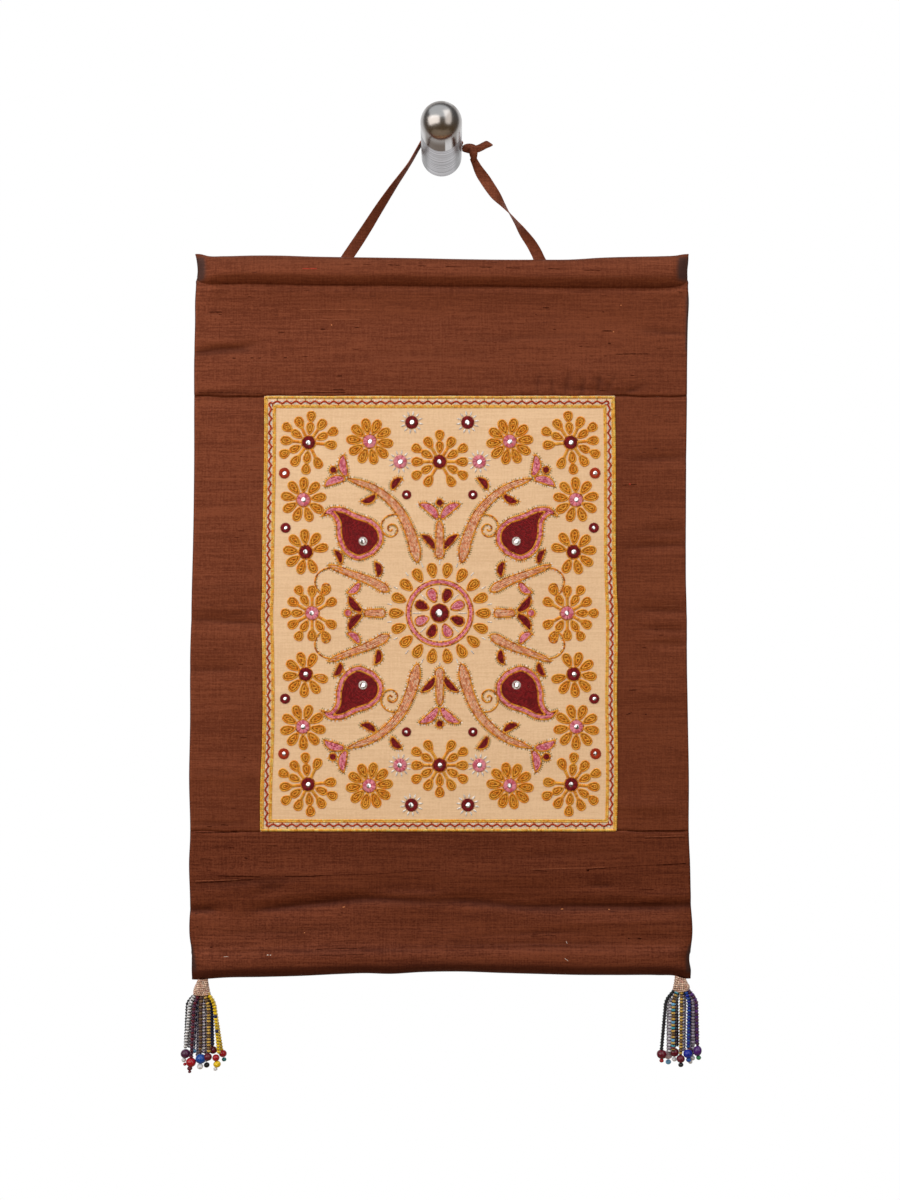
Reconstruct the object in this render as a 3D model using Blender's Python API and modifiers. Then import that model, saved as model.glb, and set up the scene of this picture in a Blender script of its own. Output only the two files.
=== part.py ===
"""Embroidered silk hanging, tied by its ribbon to a round-ended metal wall knob.

Metres, +Z up. The origin is the centre of the knob's flat wall face. The wall is the plane
Y = 0, all hangs in front of it at negative Y, and the front of the cloth faces -Y.
The cloth is a top band with a filled pocket, two side strips, a bottom band with a filled hem,
and the embroidered panel that they frame. Tables are in millimetres, as measured.
"""

import math
from collections import namedtuple

import bmesh
import bpy
from mathutils import Matrix, Vector

MM = 0.001
SHARP_ANGLE = math.radians(40.0)

# Cloth
CLOTH_PLANE = -6.5 * MM
CLOTH_THICKNESS = 2.2 * MM
PANEL_PROUD = 0.6 * MM
PIECE_GAP = 0.4 * MM
TOP_SEAM = -192.3 * MM
BOTTOM_SEAM = -533.7 * MM
ROLL_START = 0.25
ROLL_STEPS = 11
ROLL_FADE_ROWS = 3.0
TOP_BAND_ROWS = 10
BOTTOM_BAND_ROWS = 12
STRIP_GRID = (4, 58)
PANEL_GRID = (14, 26)

# Knob
KNOB_RADIUS = 15.9 * MM
KNOB_REACH = 56.0 * MM
KNOB_RISE = math.radians(11.0)
KNOB_SIDES = 36
DOME_STEPS = 8
WALL_CUT = 60.0 * MM

# Ribbon
RIBBON_THICKNESS = 1.0 * MM
RIBBON_SETBACK = 8.0 * MM
RIBBON_CLEARANCE = 0.35 * MM
RING_STEPS = 10
RING_START = 146.0
RING_END = 34.0

# Tie
CORE_CENTRE = Vector((22.6, -9.4, 3.6)) * MM
CORE_RADII = Vector((5.3, 4.4, 4.3)) * MM
CORE_GRID = (14, 9)
WRAP_CENTRE = Vector((26.5, -9.6, 0.7)) * MM
WRAP_HALF_HEIGHT = 5.8 * MM
WRAP_HALF_DEPTH = 4.4 * MM
WRAP_HALF_WIDTH = 2.7 * MM
WRAP_HALF_THICKNESS = 0.9 * MM
WRAP_LEAN = math.radians(-9.4)
WRAP_STEPS = 18
WRAP_SIDES = 8

# Tassels
STRING_WIDTH = 2.5 * MM
STRING_STOPS = (0.0, 0.08, 0.16, 0.25, 0.5, 0.75, 1.0)
BEND_SHARE = 0.25
ROOT_INSIDE = 1.6 * MM
HEAD_DEPTH = -8.2 * MM
HEAD_SIDES = 14
DROP_OVERLAP = 0.36
BEAD_RINGS = 5
BEAD_SIDES = 7
BEAD_TURN = Matrix.Rotation(math.radians(17.0), 4, "Z") @ Matrix.Rotation(math.radians(7.0), 4, "X")

# Heights and the left and right edge of the cloth there, top to bottom.
Side = namedtuple("Side", "height left right")
SIDES = (
    Side(-79.3, -194.2, 194.8),
    Side(-85.3, -193.0, 194.6),
    Side(-93.3, -192.2, 193.8),
    Side(-103.3, -193.4, 194.2),
    Side(-116.3, -194.3, 195.0),
    Side(-132.3, -194.3, 194.3),
    Side(-163.3, -194.9, 193.6),
    Side(-195.3, -194.8, 193.3),
    Side(-242.3, -194.6, 192.6),
    Side(-305.3, -195.2, 192.1),
    Side(-337.3, -195.9, 192.0),
    Side(-368.3, -196.5, 192.7),
    Side(-399.3, -197.2, 192.6),
    Side(-446.3, -197.0, 193.2),
    Side(-493.3, -197.6, 193.8),
    Side(-540.3, -196.7, 193.7),
    Side(-556.3, -197.4, 194.4),
    Side(-587.3, -196.5, 195.0),
    Side(-618.3, -196.4, 195.7),
    Side(-625.3, -195.2, 194.6),
    Side(-633.3, -194.8, 193.4),
    Side(-641.3, -194.8, 194.6),
    Side(-648.3, -194.6, 194.4),
)

# Heights and the left and right edge of the embroidered panel there.
PANEL_SIDES = (
    Side(-191.3, -139.6, 136.5),
    Side(-242.3, -139.6, 137.1),
    Side(-283.3, -140.2, 137.0),
    Side(-321.3, -140.8, 137.0),
    Side(-345.3, -140.8, 137.7),
    Side(-362.3, -141.5, 138.4),
    Side(-388.3, -140.7, 138.3),
    Side(-431.3, -140.1, 137.6),
    Side(-465.3, -140.5, 138.1),
    Side(-499.3, -141.8, 138.0),
    Side(-534.3, -141.9, 137.2),
)

# Sections of the pocket along its length: its crest, how tall and deep it is there, and how far
# its middle stands in front of the cloth's. Both ends are pinched flat and stand up as ears.
Roll = namedtuple("Roll", "across edge tall deep forward")
POCKET = (
    Roll(-194.2, -79.5, 23.0, 3.0, 0.4),
    Roll(-190.5, -79.8, 23.6, 6.8, 1.4),
    Roll(-184.0, -81.7, 22.8, 11.6, 2.5),
    Roll(-172.0, -82.0, 22.4, 14.2, 3.0),
    Roll(-150.0, -81.5, 22.8, 14.8, 3.0),
    Roll(-127.0, -81.6, 23.2, 15.2, 3.2),
    Roll(-103.0, -82.3, 23.0, 14.8, 3.0),
    Roll(-76.0, -82.8, 22.8, 15.0, 3.0),
    Roll(-48.0, -83.2, 22.4, 15.3, 3.2),
    Roll(-20.0, -83.6, 22.4, 15.0, 3.0),
    Roll(12.0, -84.3, 22.0, 14.8, 3.0),
    Roll(46.0, -84.8, 21.6, 15.0, 3.1),
    Roll(76.0, -84.8, 22.2, 15.0, 3.0),
    Roll(101.0, -84.7, 22.8, 15.3, 3.2),
    Roll(125.0, -83.2, 24.4, 15.0, 3.0),
    Roll(152.0, -82.4, 25.2, 14.8, 3.0),
    Roll(172.0, -82.0, 25.6, 14.2, 3.0),
    Roll(184.0, -81.3, 25.4, 11.6, 2.5),
    Roll(190.5, -80.0, 25.2, 6.8, 1.4),
    Roll(194.4, -79.5, 24.0, 3.0, 0.4),
)

# The same for the hem, whose edge is its lowest line.
HEM = (
    Roll(-194.6, -648.2, 22.0, 3.0, 0.4),
    Roll(-190.5, -648.2, 23.0, 6.4, 1.2),
    Roll(-183.0, -647.5, 22.6, 10.2, 2.0),
    Roll(-170.0, -646.5, 21.8, 12.4, 2.4),
    Roll(-141.0, -645.9, 21.6, 12.8, 2.6),
    Roll(-110.0, -645.1, 22.4, 12.4, 2.4),
    Roll(-79.0, -643.6, 21.8, 12.8, 2.6),
    Roll(-60.0, -643.0, 21.2, 12.4, 2.4),
    Roll(-40.0, -643.5, 21.6, 12.8, 2.4),
    Roll(-16.0, -642.1, 19.4, 12.8, 2.6),
    Roll(14.0, -641.7, 18.8, 12.4, 2.5),
    Roll(46.0, -642.8, 20.8, 12.4, 2.4),
    Roll(77.0, -643.6, 22.0, 12.8, 2.6),
    Roll(104.0, -644.3, 22.2, 12.4, 2.4),
    Roll(139.0, -644.4, 21.6, 12.8, 2.6),
    Roll(168.0, -644.5, 21.8, 12.2, 2.4),
    Roll(183.0, -645.3, 22.2, 9.6, 2.0),
    Roll(189.5, -647.3, 23.0, 6.4, 1.2),
    Roll(193.8, -647.5, 22.0, 3.0, 0.4),
)

# Soft folds of the cloth: the middle of each, half its length and width, its slope in degrees,
# and how far it stands forward, or back where that is negative.
Fold = namedtuple("Fold", "across height reach spread slope rise")
FOLDS = (
    Fold(128.0, -176.3, 38.0, 12.0, 0.0, 1.3),
    Fold(-166.0, -155.3, 28.0, 7.0, 3.0, -0.9),
    Fold(-60.0, -133.3, 90.0, 12.0, 1.0, -0.7),
    Fold(150.0, -123.3, 48.0, 9.0, -2.0, 0.8),
    Fold(-166.0, -195.3, 32.0, 6.0, 2.0, -1.0),
    Fold(-168.0, -342.3, 26.0, 7.0, 0.0, 0.8),
    Fold(-169.0, -369.3, 34.0, 6.5, -4.0, -1.6),
    Fold(-178.0, -407.3, 24.0, 7.5, 0.0, -1.1),
    Fold(-168.0, -487.3, 30.0, 8.0, 0.0, 0.8),
    Fold(176.0, -241.0, 20.0, 6.0, 0.0, -0.9),
    Fold(178.0, -298.0, 16.0, 5.0, 0.0, -0.8),
    Fold(174.0, -310.0, 22.0, 5.5, 3.0, -1.0),
    Fold(174.0, -361.0, 22.0, 6.0, -2.0, -1.2),
    Fold(178.0, -376.0, 17.0, 5.0, -2.0, -1.0),
    Fold(180.0, -388.0, 15.0, 5.0, -2.0, -0.9),
    Fold(162.0, -425.3, 30.0, 10.0, 0.0, 0.7),
    Fold(162.0, -513.3, 26.0, 7.0, 0.0, 1.0),
    Fold(-40.0, -425.3, 120.0, 26.0, 2.0, 0.6),
    Fold(30.0, -305.3, 110.0, 24.0, -2.0, 0.5),
    Fold(-184.0, -595.3, 20.0, 6.0, 0.0, -1.0),
    Fold(-97.0, -590.3, 52.0, 9.0, 5.0, -2.0),
    Fold(-120.0, -571.3, 60.0, 9.0, 4.0, 0.9),
    Fold(-28.0, -579.3, 36.0, 8.0, 0.0, -1.2),
    Fold(48.0, -585.3, 44.0, 9.0, 0.0, -1.8),
    Fold(60.0, -567.3, 70.0, 10.0, 1.0, 0.8),
    Fold(136.0, -591.3, 62.0, 8.0, -2.0, -1.6),
    Fold(130.0, -605.3, 60.0, 8.0, -2.0, 0.9),
)

# The ribbons from sewn end to tie: place, the turn of the ribbon's width out of the plane of the
# cloth in degrees, and how wide it lies. The left one goes on round the knob in even steps.
Stop = namedtuple("Stop", "across depth height turn wide")
LEFT_RIBBON = (
    Stop(-84.8, -1.2, -97.3, 0.0, 8.8),
    Stop(-79.9, -1.2, -90.0, 0.0, 8.8),
    Stop(-75.6, -1.5, -82.6, 9.0, 8.8),
    Stop(-67.6, -2.0, -70.6, 22.0, 8.8),
    Stop(-60.8, -2.4, -60.3, 36.0, 8.8),
    Stop(-49.0, -3.5, -41.8, 52.0, 8.8),
    Stop(-37.4, -4.8, -24.6, 65.0, 8.8),
    Stop(-25.8, -6.3, -7.4, 80.0, 8.8),
)
LEFT_RIBBON_END = (Stop(16.6, -8.0, 6.9, 90.0, 8.8),)
RIGHT_RIBBON = (
    Stop(86.6, -1.2, -97.3, 180.0, 8.8),
    Stop(82.2, -1.2, -90.2, 180.0, 8.8),
    Stop(77.4, -1.7, -82.4, 168.0, 8.8),
    Stop(75.2, -2.2, -77.8, 158.0, 8.8),
    Stop(71.2, -3.2, -71.0, 140.0, 8.8),
    Stop(65.2, -4.2, -63.0, 121.0, 8.8),
    Stop(58.6, -5.0, -53.7, 91.0, 8.8),
    Stop(54.5, -5.6, -48.2, 77.0, 8.8),
    Stop(48.3, -6.4, -40.2, 55.0, 8.8),
    Stop(42.2, -7.2, -32.3, 21.0, 8.8),
    Stop(34.7, -8.0, -21.4, 0.0, 8.8),
    Stop(28.9, -8.5, -12.4, -36.0, 7.6),
    Stop(26.8, -8.7, -8.1, -42.0, 6.5),
)
LOWER_END = (
    Stop(22.8, -9.2, 1.6, -34.0, 4.6),
    Stop(24.6, -9.0, -3.4, -38.0, 5.4),
    Stop(26.6, -8.8, -7.7, -42.0, 6.4),
)

# The tie's free end: its middle line, and its width and thickness at each stop.
Tail = namedtuple("Tail", "across depth height width thick")
TAIL = (
    Tail(24.0, -9.6, 4.0, 5.0, 3.0),
    Tail(28.4, -9.8, 3.4, 7.0, 2.6),
    Tail(32.8, -10.2, 4.7, 6.4, 1.9),
    Tail(36.2, -10.4, 6.5, 6.1, 1.5),
    Tail(40.0, -10.6, 5.4, 2.2, 1.2),
)

# Tassel heads from the hem down: the middle of each ring, its half width and half depth, and how
# much higher its right side is than its middle.
Ring = namedtuple("Ring", "across height half_width half_depth slant")
LEFT_HEAD = (
    Ring(-186.0, -648.5, 3.7, 3.2, 0.2),
    Ring(-186.3, -650.8, 4.3, 3.9, 0.0),
    Ring(-186.8, -654.2, 5.5, 4.9, 0.0),
    Ring(-186.9, -659.2, 6.5, 6.0, 0.0),
    Ring(-186.6, -660.8, 6.2, 5.8, 0.0),
)
RIGHT_HEAD = (
    Ring(186.4, -646.9, 4.0, 3.4, -1.2),
    Ring(186.5, -649.2, 4.6, 4.2, -0.8),
    Ring(186.9, -652.2, 5.6, 5.0, 0.0),
    Ring(187.0, -655.8, 6.7, 6.0, 0.9),
    Ring(187.0, -657.2, 6.4, 5.8, 0.9),
)

# Bead strings: where each leaves the head, is after a quarter of its fall and ends, all as places
# across, the height of its end, its depth at the head and at the end, and its bead and drop.
String = namedtuple("String", "root quarter low height root_depth depth bead drop")
LEFT_STRINGS = (
    String(-191.0, -198.6, -199.9, -699.8, -5.8, -4.0, 0.0, 0.0),
    String(-191.2, -195.8, -199.2, -705.7, -9.0, -10.6, 7.0, 3.2),
    String(-189.8, -194.4, -196.9, -700.8, -6.4, -7.4, 0.0, 0.0),
    String(-188.6, -192.4, -194.2, -711.8, -11.4, -12.8, 7.0, 3.6),
    String(-187.8, -190.9, -192.9, -701.0, -9.2, -8.8, 0.0, 0.0),
    String(-187.4, -190.0, -190.6, -711.2, -4.6, -4.0, 4.0, 0.0),
    String(-186.6, -187.0, -187.2, -709.2, -12.0, -12.8, 7.4, 4.6),
    String(-187.0, -186.1, -186.3, -703.0, -7.6, -8.2, 0.0, 0.0),
    String(-184.0, -182.9, -183.1, -714.6, -8.4, -8.8, 4.4, 0.0),
    String(-184.8, -182.8, -182.6, -702.0, -4.6, -4.0, 0.0, 0.0),
    String(-184.2, -180.9, -180.6, -707.6, -11.8, -13.2, 5.6, 3.0),
    String(-181.6, -178.9, -178.3, -700.0, -6.8, -8.2, 0.0, 0.0),
    String(-181.8, -177.0, -175.1, -708.6, -9.2, -12.4, 5.2, 5.4),
    String(-183.2, -177.2, -170.9, -707.0, -4.2, -4.0, 5.7, 3.0),
)
RIGHT_STRINGS = (
    String(182.2, 174.3, 171.1, -705.9, -9.2, -11.6, 7.2, 3.4),
    String(183.2, 177.2, 177.2, -707.9, -6.8, -4.6, 6.6, 3.8),
    String(184.0, 180.2, 179.8, -698.8, -10.8, -13.2, 0.0, 0.0),
    String(184.6, 181.9, 181.5, -704.9, -8.2, -9.4, 6.6, 3.6),
    String(185.8, 184.0, 184.2, -692.0, -5.2, -4.4, 0.0, 0.0),
    String(186.8, 186.4, 185.8, -709.2, -11.6, -12.8, 6.0, 4.2),
    String(188.2, 189.7, 190.6, -695.0, -7.6, -8.2, 0.0, 0.0),
    String(189.6, 192.4, 191.6, -705.3, -11.0, -12.6, 6.6, 3.8),
    String(189.8, 193.8, 194.6, -703.9, -5.0, -4.0, 4.6, 3.0),
    String(190.2, 194.7, 195.2, -709.6, -7.8, -8.7, 4.0, 0.0),
    String(191.6, 198.4, 199.0, -703.2, -10.4, -12.2, 6.6, 3.6),
    String(191.6, 198.3, 198.8, -698.6, -5.6, -5.2, 0.0, 0.0),
)


def shared_material(name, colour, roughness, metallic=0.0):
    material = bpy.data.materials.new(name)
    material.use_nodes = True
    shader = material.node_tree.nodes["Principled BSDF"]
    shader.inputs["Base Color"].default_value = (*colour, 1.0)
    shader.inputs["Roughness"].default_value = roughness
    shader.inputs["Metallic"].default_value = metallic
    return material


def place(name, shape, collection, parent, material):
    """Turn a bmesh into a smooth-shaded object of the hanging."""
    bmesh.ops.recalc_face_normals(shape, faces=shape.faces)
    mesh = bpy.data.meshes.new(name)
    shape.to_mesh(mesh)
    shape.free()
    mesh.materials.append(material)
    mesh.shade_smooth()
    mesh.set_sharp_from_angle(angle=SHARP_ANGLE)
    piece = bpy.data.objects.new(name, mesh)
    collection.objects.link(piece)
    piece.parent = parent
    return piece


def unite(body, others):
    """Join hidden solids to a body with exact unions."""
    for other in others:
        other.hide_render = True
        other.display_type = "WIRE"
        join = body.modifiers.new("joined", "BOOLEAN")
        join.operation = "UNION"
        join.object = other


def blend(start, end, share):
    return start + (end - start) * share


def side(table, column, z):
    """An edge of the cloth at a height, easing between the rows of its table."""
    rows = sorted(table, key=lambda row: row.height)
    height = min(max(z / MM, rows[0].height), rows[-1].height)
    for low, high in zip(rows, rows[1:]):
        if height <= high.height:
            share = (height - low.height) / (high.height - low.height)
            share = share * share * (3.0 - 2.0 * share)
            return blend(getattr(low, column), getattr(high, column), share) * MM


def fold_rise(x, z):
    """How far the folds push the cloth forward at a place."""
    rise = 0.0
    for fold in FOLDS:
        across = x / MM - fold.across
        up = z / MM - fold.height
        slope = math.radians(fold.slope)
        along = across * math.cos(slope) + up * math.sin(slope)
        off = up * math.cos(slope) - across * math.sin(slope)
        rise += fold.rise * math.exp(-((off / fold.spread) ** 2) - (along / fold.reach) ** 4)
    return rise * MM


def loft(rings):
    """Closed skin over equal rings of points, whose ends are closed by strips between the sides."""
    shape = bmesh.new()
    loops = [[shape.verts.new(point) for point in ring] for ring in rings]
    count = len(loops[0])
    for first, second in zip(loops, loops[1:]):
        for i in range(count):
            j = (i + 1) % count
            shape.faces.new((first[i], first[j], second[j], second[i]))
    for loop in (loops[0], loops[-1]):
        for i in range(count // 2 - 1):
            shape.faces.new((loop[i], loop[i + 1], loop[-2 - i], loop[-1 - i]))
    return shape


def roll_rows(section):
    """Half depths and heights down one roll, from its edge to where it narrows to the cloth."""
    half_tall = 0.5 * section.tall * MM
    half_deep = 0.5 * section.deep * MM
    lowest = math.asin(min(1.0, 0.5 * CLOTH_THICKNESS / half_deep))
    rows = []
    for step in range(ROLL_STEPS):
        angle = blend(ROLL_START, math.pi - lowest, step / (ROLL_STEPS - 1))
        rows.append((half_deep * math.sin(angle), half_tall * (1.0 - math.cos(angle))))
    return rows


def band(name, table, seam, sheet_rows, collection, parent, material):
    """A band of cloth from its seam to its filled roll, lofted through the table's sections."""
    low, high = table[0].across, table[-1].across
    towards_seam = 1.0 if seam > table[0].edge * MM else -1.0
    rings = []
    for section in table:
        rows = []
        for half, down in roll_rows(section):
            rows.append((half, section.edge * MM + towards_seam * down, section.forward * MM))
        roll_end = rows[-1][1]
        for row in range(1, sheet_rows + 1):
            ease = max(0.0, 1.0 - row / ROLL_FADE_ROWS) ** 2
            height = blend(roll_end, seam, row / sheet_rows)
            rows.append((0.5 * CLOTH_THICKNESS, height, section.forward * MM * ease))
        front, back = [], []
        for half, height, forward in rows:
            left = side(SIDES, "left", height)
            right = side(SIDES, "right", height)
            across = blend(left, right, (section.across - low) / (high - low))
            middle = -forward - fold_rise(across, height)
            front.append((across, middle - half, height))
            back.append((across, middle + half, height))
        rings.append(front + back[::-1])
    return place(name, loft(rings), collection, parent, material)


def sheet(name, grid, left, right, collection, parent, material):
    """A flat-cut piece of cloth between the bands: a grid over its outline, pushed into the
    folds, then thickened. Left and right are each a table, its column and a distance from it."""
    top = TOP_SEAM - 0.5 * PIECE_GAP
    bottom = BOTTOM_SEAM + 0.5 * PIECE_GAP
    shape = bmesh.new()
    bmesh.ops.create_grid(shape, x_segments=grid[0], y_segments=grid[1], size=0.5)
    for vertex in shape.verts:
        z = blend(bottom, top, vertex.co.y + 0.5)
        start = side(left[0], left[1], z) + left[2]
        end = side(right[0], right[1], z) + right[2]
        x = blend(start, end, vertex.co.x + 0.5)
        vertex.co = (x, -fold_rise(x, z), z)
    piece = place(name, shape, collection, parent, material)
    wall = piece.modifiers.new("thickness", "SOLIDIFY")
    wall.thickness = CLOTH_THICKNESS
    wall.offset = 0.0
    return piece


def build_cloth(collection, parent):
    """The four brown pieces and the embroidered panel, with a seam's gap between each two."""
    brown = shared_material("brown_silk", (0.17, 0.05, 0.022), 0.55)
    cream = shared_material("cream_silk", (0.79, 0.53, 0.33), 0.6)
    seam_top = TOP_SEAM + 0.5 * PIECE_GAP
    seam_bottom = BOTTOM_SEAM - 0.5 * PIECE_GAP
    band("top_band", POCKET, seam_top, TOP_BAND_ROWS, collection, parent, brown)
    band("bottom_band", HEM, seam_bottom, BOTTOM_BAND_ROWS, collection, parent, brown)
    outer_left = (SIDES, "left", 0.0)
    inner_left = (PANEL_SIDES, "left", -PIECE_GAP)
    sheet("left_strip", STRIP_GRID, outer_left, inner_left, collection, parent, brown)
    inner_right = (PANEL_SIDES, "right", PIECE_GAP)
    outer_right = (SIDES, "right", 0.0)
    sheet("right_strip", STRIP_GRID, inner_right, outer_right, collection, parent, brown)
    panel_left = (PANEL_SIDES, "left", 0.0)
    panel_right = (PANEL_SIDES, "right", 0.0)
    panel = sheet("embroidered_panel", PANEL_GRID, panel_left, panel_right, collection, parent, cream)
    panel.location.y = -PANEL_PROUD


def cutter_box(name, size, centre, collection):
    shape = bmesh.new()
    bmesh.ops.create_cube(shape, size=size)
    mesh = bpy.data.meshes.new(name)
    shape.to_mesh(mesh)
    shape.free()
    box = bpy.data.objects.new(name, mesh)
    box.location = centre
    box.hide_render = True
    box.display_type = "WIRE"
    collection.objects.link(box)
    return box


def knob_axis():
    """Direction from the wall to the round end, rising from square to the wall."""
    return Vector((0.0, -math.cos(KNOB_RISE), math.sin(KNOB_RISE)))


def build_knob(collection, cutters, parent):
    """A turned profile of a shaft with a round end, leaning up and cut flush with the wall."""
    steel = shared_material("satin_steel", (0.62, 0.60, 0.59), 0.3, 1.0)
    profile = [(0.0, KNOB_REACH + KNOB_RADIUS)]
    for step in range(1, DOME_STEPS + 1):
        angle = 0.5 * math.pi * (1.0 - step / DOME_STEPS)
        radius = KNOB_RADIUS * math.cos(angle)
        profile.append((radius, KNOB_REACH + KNOB_RADIUS * math.sin(angle)))
    foot = -KNOB_RADIUS
    profile += [(KNOB_RADIUS, foot), (0.0, foot)]
    shape = bmesh.new()
    points = [shape.verts.new((radius, 0.0, height)) for radius, height in profile]
    for first, second in zip(points, points[1:]):
        shape.edges.new((first, second))
    mesh = bpy.data.meshes.new("wall_knob")
    shape.to_mesh(mesh)
    shape.free()
    mesh.materials.append(steel)
    knob = bpy.data.objects.new("wall_knob", mesh)
    collection.objects.link(knob)
    knob.parent = parent
    knob.rotation_euler = (0.5 * math.pi - KNOB_RISE, 0.0, 0.0)
    turn = knob.modifiers.new("turned", "SCREW")
    turn.steps = KNOB_SIDES
    turn.render_steps = KNOB_SIDES
    turn.use_merge_vertices = True
    turn.merge_threshold = 0.00001
    wall = cutter_box("wall_cutter", WALL_CUT, (0.0, 0.5 * WALL_CUT, 0.0), cutters)
    flush = knob.modifiers.new("flush_with_wall", "BOOLEAN")
    flush.operation = "DIFFERENCE"
    flush.object = wall


def ribbon_rings(stops):
    """Oblong sections across a ribbon's route, each turned as its stop says."""
    rings = []
    points = [Vector(stop[:3]) * MM for stop in stops]
    for i, stop in enumerate(stops):
        before = points[max(i - 1, 0)]
        after = points[min(i + 1, len(points) - 1)]
        run = (after - before).normalized()
        flat = run.cross(Vector((0.0, 1.0, 0.0))).normalized()
        turn = math.radians(stop.turn)
        wide = flat * math.cos(turn) + knob_axis() * math.sin(turn)
        wide = (wide - run * wide.dot(run)).normalized() * (0.5 * stop.wide * MM)
        thick = run.cross(wide).normalized() * (0.5 * RIBBON_THICKNESS)
        centre = points[i]
        rings.append([centre - wide + thick, centre + wide + thick,
                      centre + wide - thick, centre - wide - thick])
    return rings


def ring_over_knob():
    """Stops of the ribbon over the top of the knob, from its left side to its right."""
    away = KNOB_RADIUS + RIBBON_CLEARANCE + 0.5 * RIBBON_THICKNESS
    middle = RIBBON_SETBACK * math.tan(KNOB_RISE)
    width = LEFT_RIBBON[-1].wide
    stops = []
    for step in range(RING_STEPS + 1):
        angle = math.radians(blend(RING_START, RING_END, step / RING_STEPS))
        across = away * math.cos(angle)
        height = middle + away / math.cos(KNOB_RISE) * math.sin(angle)
        stops.append(Stop(across / MM, -RIBBON_SETBACK / MM, height / MM, 90.0, width))
    return tuple(stops)


def build_ribbons(collection, parent):
    """The left ribbon from the pocket over the knob to the tie, and the right one up to it."""
    ribbon = shared_material("ribbon_silk", (0.15, 0.045, 0.022), 0.55)
    left_route = LEFT_RIBBON + ring_over_knob() + LEFT_RIBBON_END
    place("strap_left", loft(ribbon_rings(left_route)), collection, parent, ribbon)
    place("strap_right", loft(ribbon_rings(RIGHT_RIBBON)), collection, parent, ribbon)


def build_tie(collection, cutters, parent):
    """The knot: its core, the ribbon's turn round it, its free end, and where the right ribbon
    comes out of it below."""
    silk = shared_material("tie_silk", (0.14, 0.042, 0.021), 0.6)
    core = bmesh.new()
    stretch = Matrix.Translation(CORE_CENTRE) @ Matrix.Diagonal((*CORE_RADII, 1.0))
    bmesh.ops.create_uvsphere(core, u_segments=CORE_GRID[0], v_segments=CORE_GRID[1], radius=1.0,
                              matrix=stretch)
    knot = place("strap_knot", core, collection, parent, silk)
    turn = bmesh.new()
    section = Matrix.Translation((0.0, WRAP_HALF_DEPTH, 0.0))
    section = section @ Matrix.Diagonal((WRAP_HALF_WIDTH, WRAP_HALF_THICKNESS, 1.0, 1.0))
    bmesh.ops.create_circle(turn, segments=WRAP_SIDES, radius=1.0, matrix=section)
    bmesh.ops.spin(turn, geom=turn.verts[:] + turn.edges[:], cent=(0.0, 0.0, 0.0),
                   axis=(1.0, 0.0, 0.0), angle=2.0 * math.pi, steps=WRAP_STEPS, use_merge=True)
    settle = Matrix.Translation(WRAP_CENTRE) @ Matrix.Rotation(WRAP_LEAN, 4, "Y")
    settle = settle @ Matrix.Diagonal((1.0, 1.0, WRAP_HALF_HEIGHT / WRAP_HALF_DEPTH, 1.0))
    bmesh.ops.transform(turn, matrix=settle, verts=turn.verts)
    wrap = place("tie_wrap", turn, cutters, parent, silk)
    rings = []
    for stop in TAIL:
        centre = Vector(stop[:3]) * MM
        wide = Vector((0.0, 0.0, 0.5 * stop.width * MM))
        thick = Vector((0.0, 0.5 * stop.thick * MM, 0.0))
        rings.append([centre - wide - thick, centre + wide - thick,
                      centre + wide + thick, centre - wide + thick])
    tail = place("tie_end", loft(rings), cutters, parent, silk)
    lower = place("tie_lower_end", loft(ribbon_rings(LOWER_END)), cutters, parent, silk)
    unite(knot, (wrap, tail, lower))


def string_rod(string, foot):
    """One string of beads as a four-sided rod that swings out of the head, then hangs."""
    top = foot + ROOT_INSIDE
    rings = []
    half = 0.5 * STRING_WIDTH
    for share in STRING_STOPS:
        swing = math.sin(0.5 * math.pi * min(1.0, share / BEND_SHARE))
        fall = max(0.0, (share - BEND_SHARE) / (1.0 - BEND_SHARE))
        across = blend(blend(string.root, string.quarter, swing), string.low, fall) * MM
        depth = blend(string.root_depth, string.depth, swing) * MM
        height = blend(top, string.height * MM, share)
        rings.append([(across + dx * half, depth + dy * half, height)
                      for dx, dy in ((-1, -1), (1, -1), (1, 1), (-1, 1))])
    return loft(rings)


def build_tassel(name, head, strings, collection, cutters, parent):
    """A beaded head under the hem's corner, with its strings fused into it at their roots."""
    beads = shared_material(name + "_beads", (0.45, 0.34, 0.28), 0.35)
    rings = []
    for ring in head:
        points = []
        for step in range(HEAD_SIDES):
            angle = 2.0 * math.pi * step / HEAD_SIDES
            points.append(((ring.across + ring.half_width * math.cos(angle)) * MM,
                           HEAD_DEPTH + ring.half_depth * math.sin(angle) * MM,
                           (ring.height + ring.slant * math.cos(angle)) * MM))
        rings.append(points)
    tassel = place(name, loft(rings), collection, parent, beads)
    foot = head[-1].height * MM
    parts = []
    for number, string in enumerate(strings):
        label = f"{name}_string_{number}"
        parts.append(place(label, string_rod(string, foot), cutters, parent, beads))
        low = Vector((string.low, string.depth, string.height))
        fall = 0.5 * string.bead + DROP_OVERLAP * string.drop
        for size, centre in ((string.bead, low), (string.drop, low - Vector((0.0, 0.0, fall)))):
            if size:
                ball = bmesh.new()
                bmesh.ops.create_uvsphere(ball, u_segments=BEAD_SIDES, v_segments=BEAD_RINGS,
                                          radius=0.5 * size * MM,
                                          matrix=Matrix.Translation(centre * MM) @ BEAD_TURN)
                parts.append(place(label + "_bead", ball, cutters, parent, beads))
    unite(tassel, parts)


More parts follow.
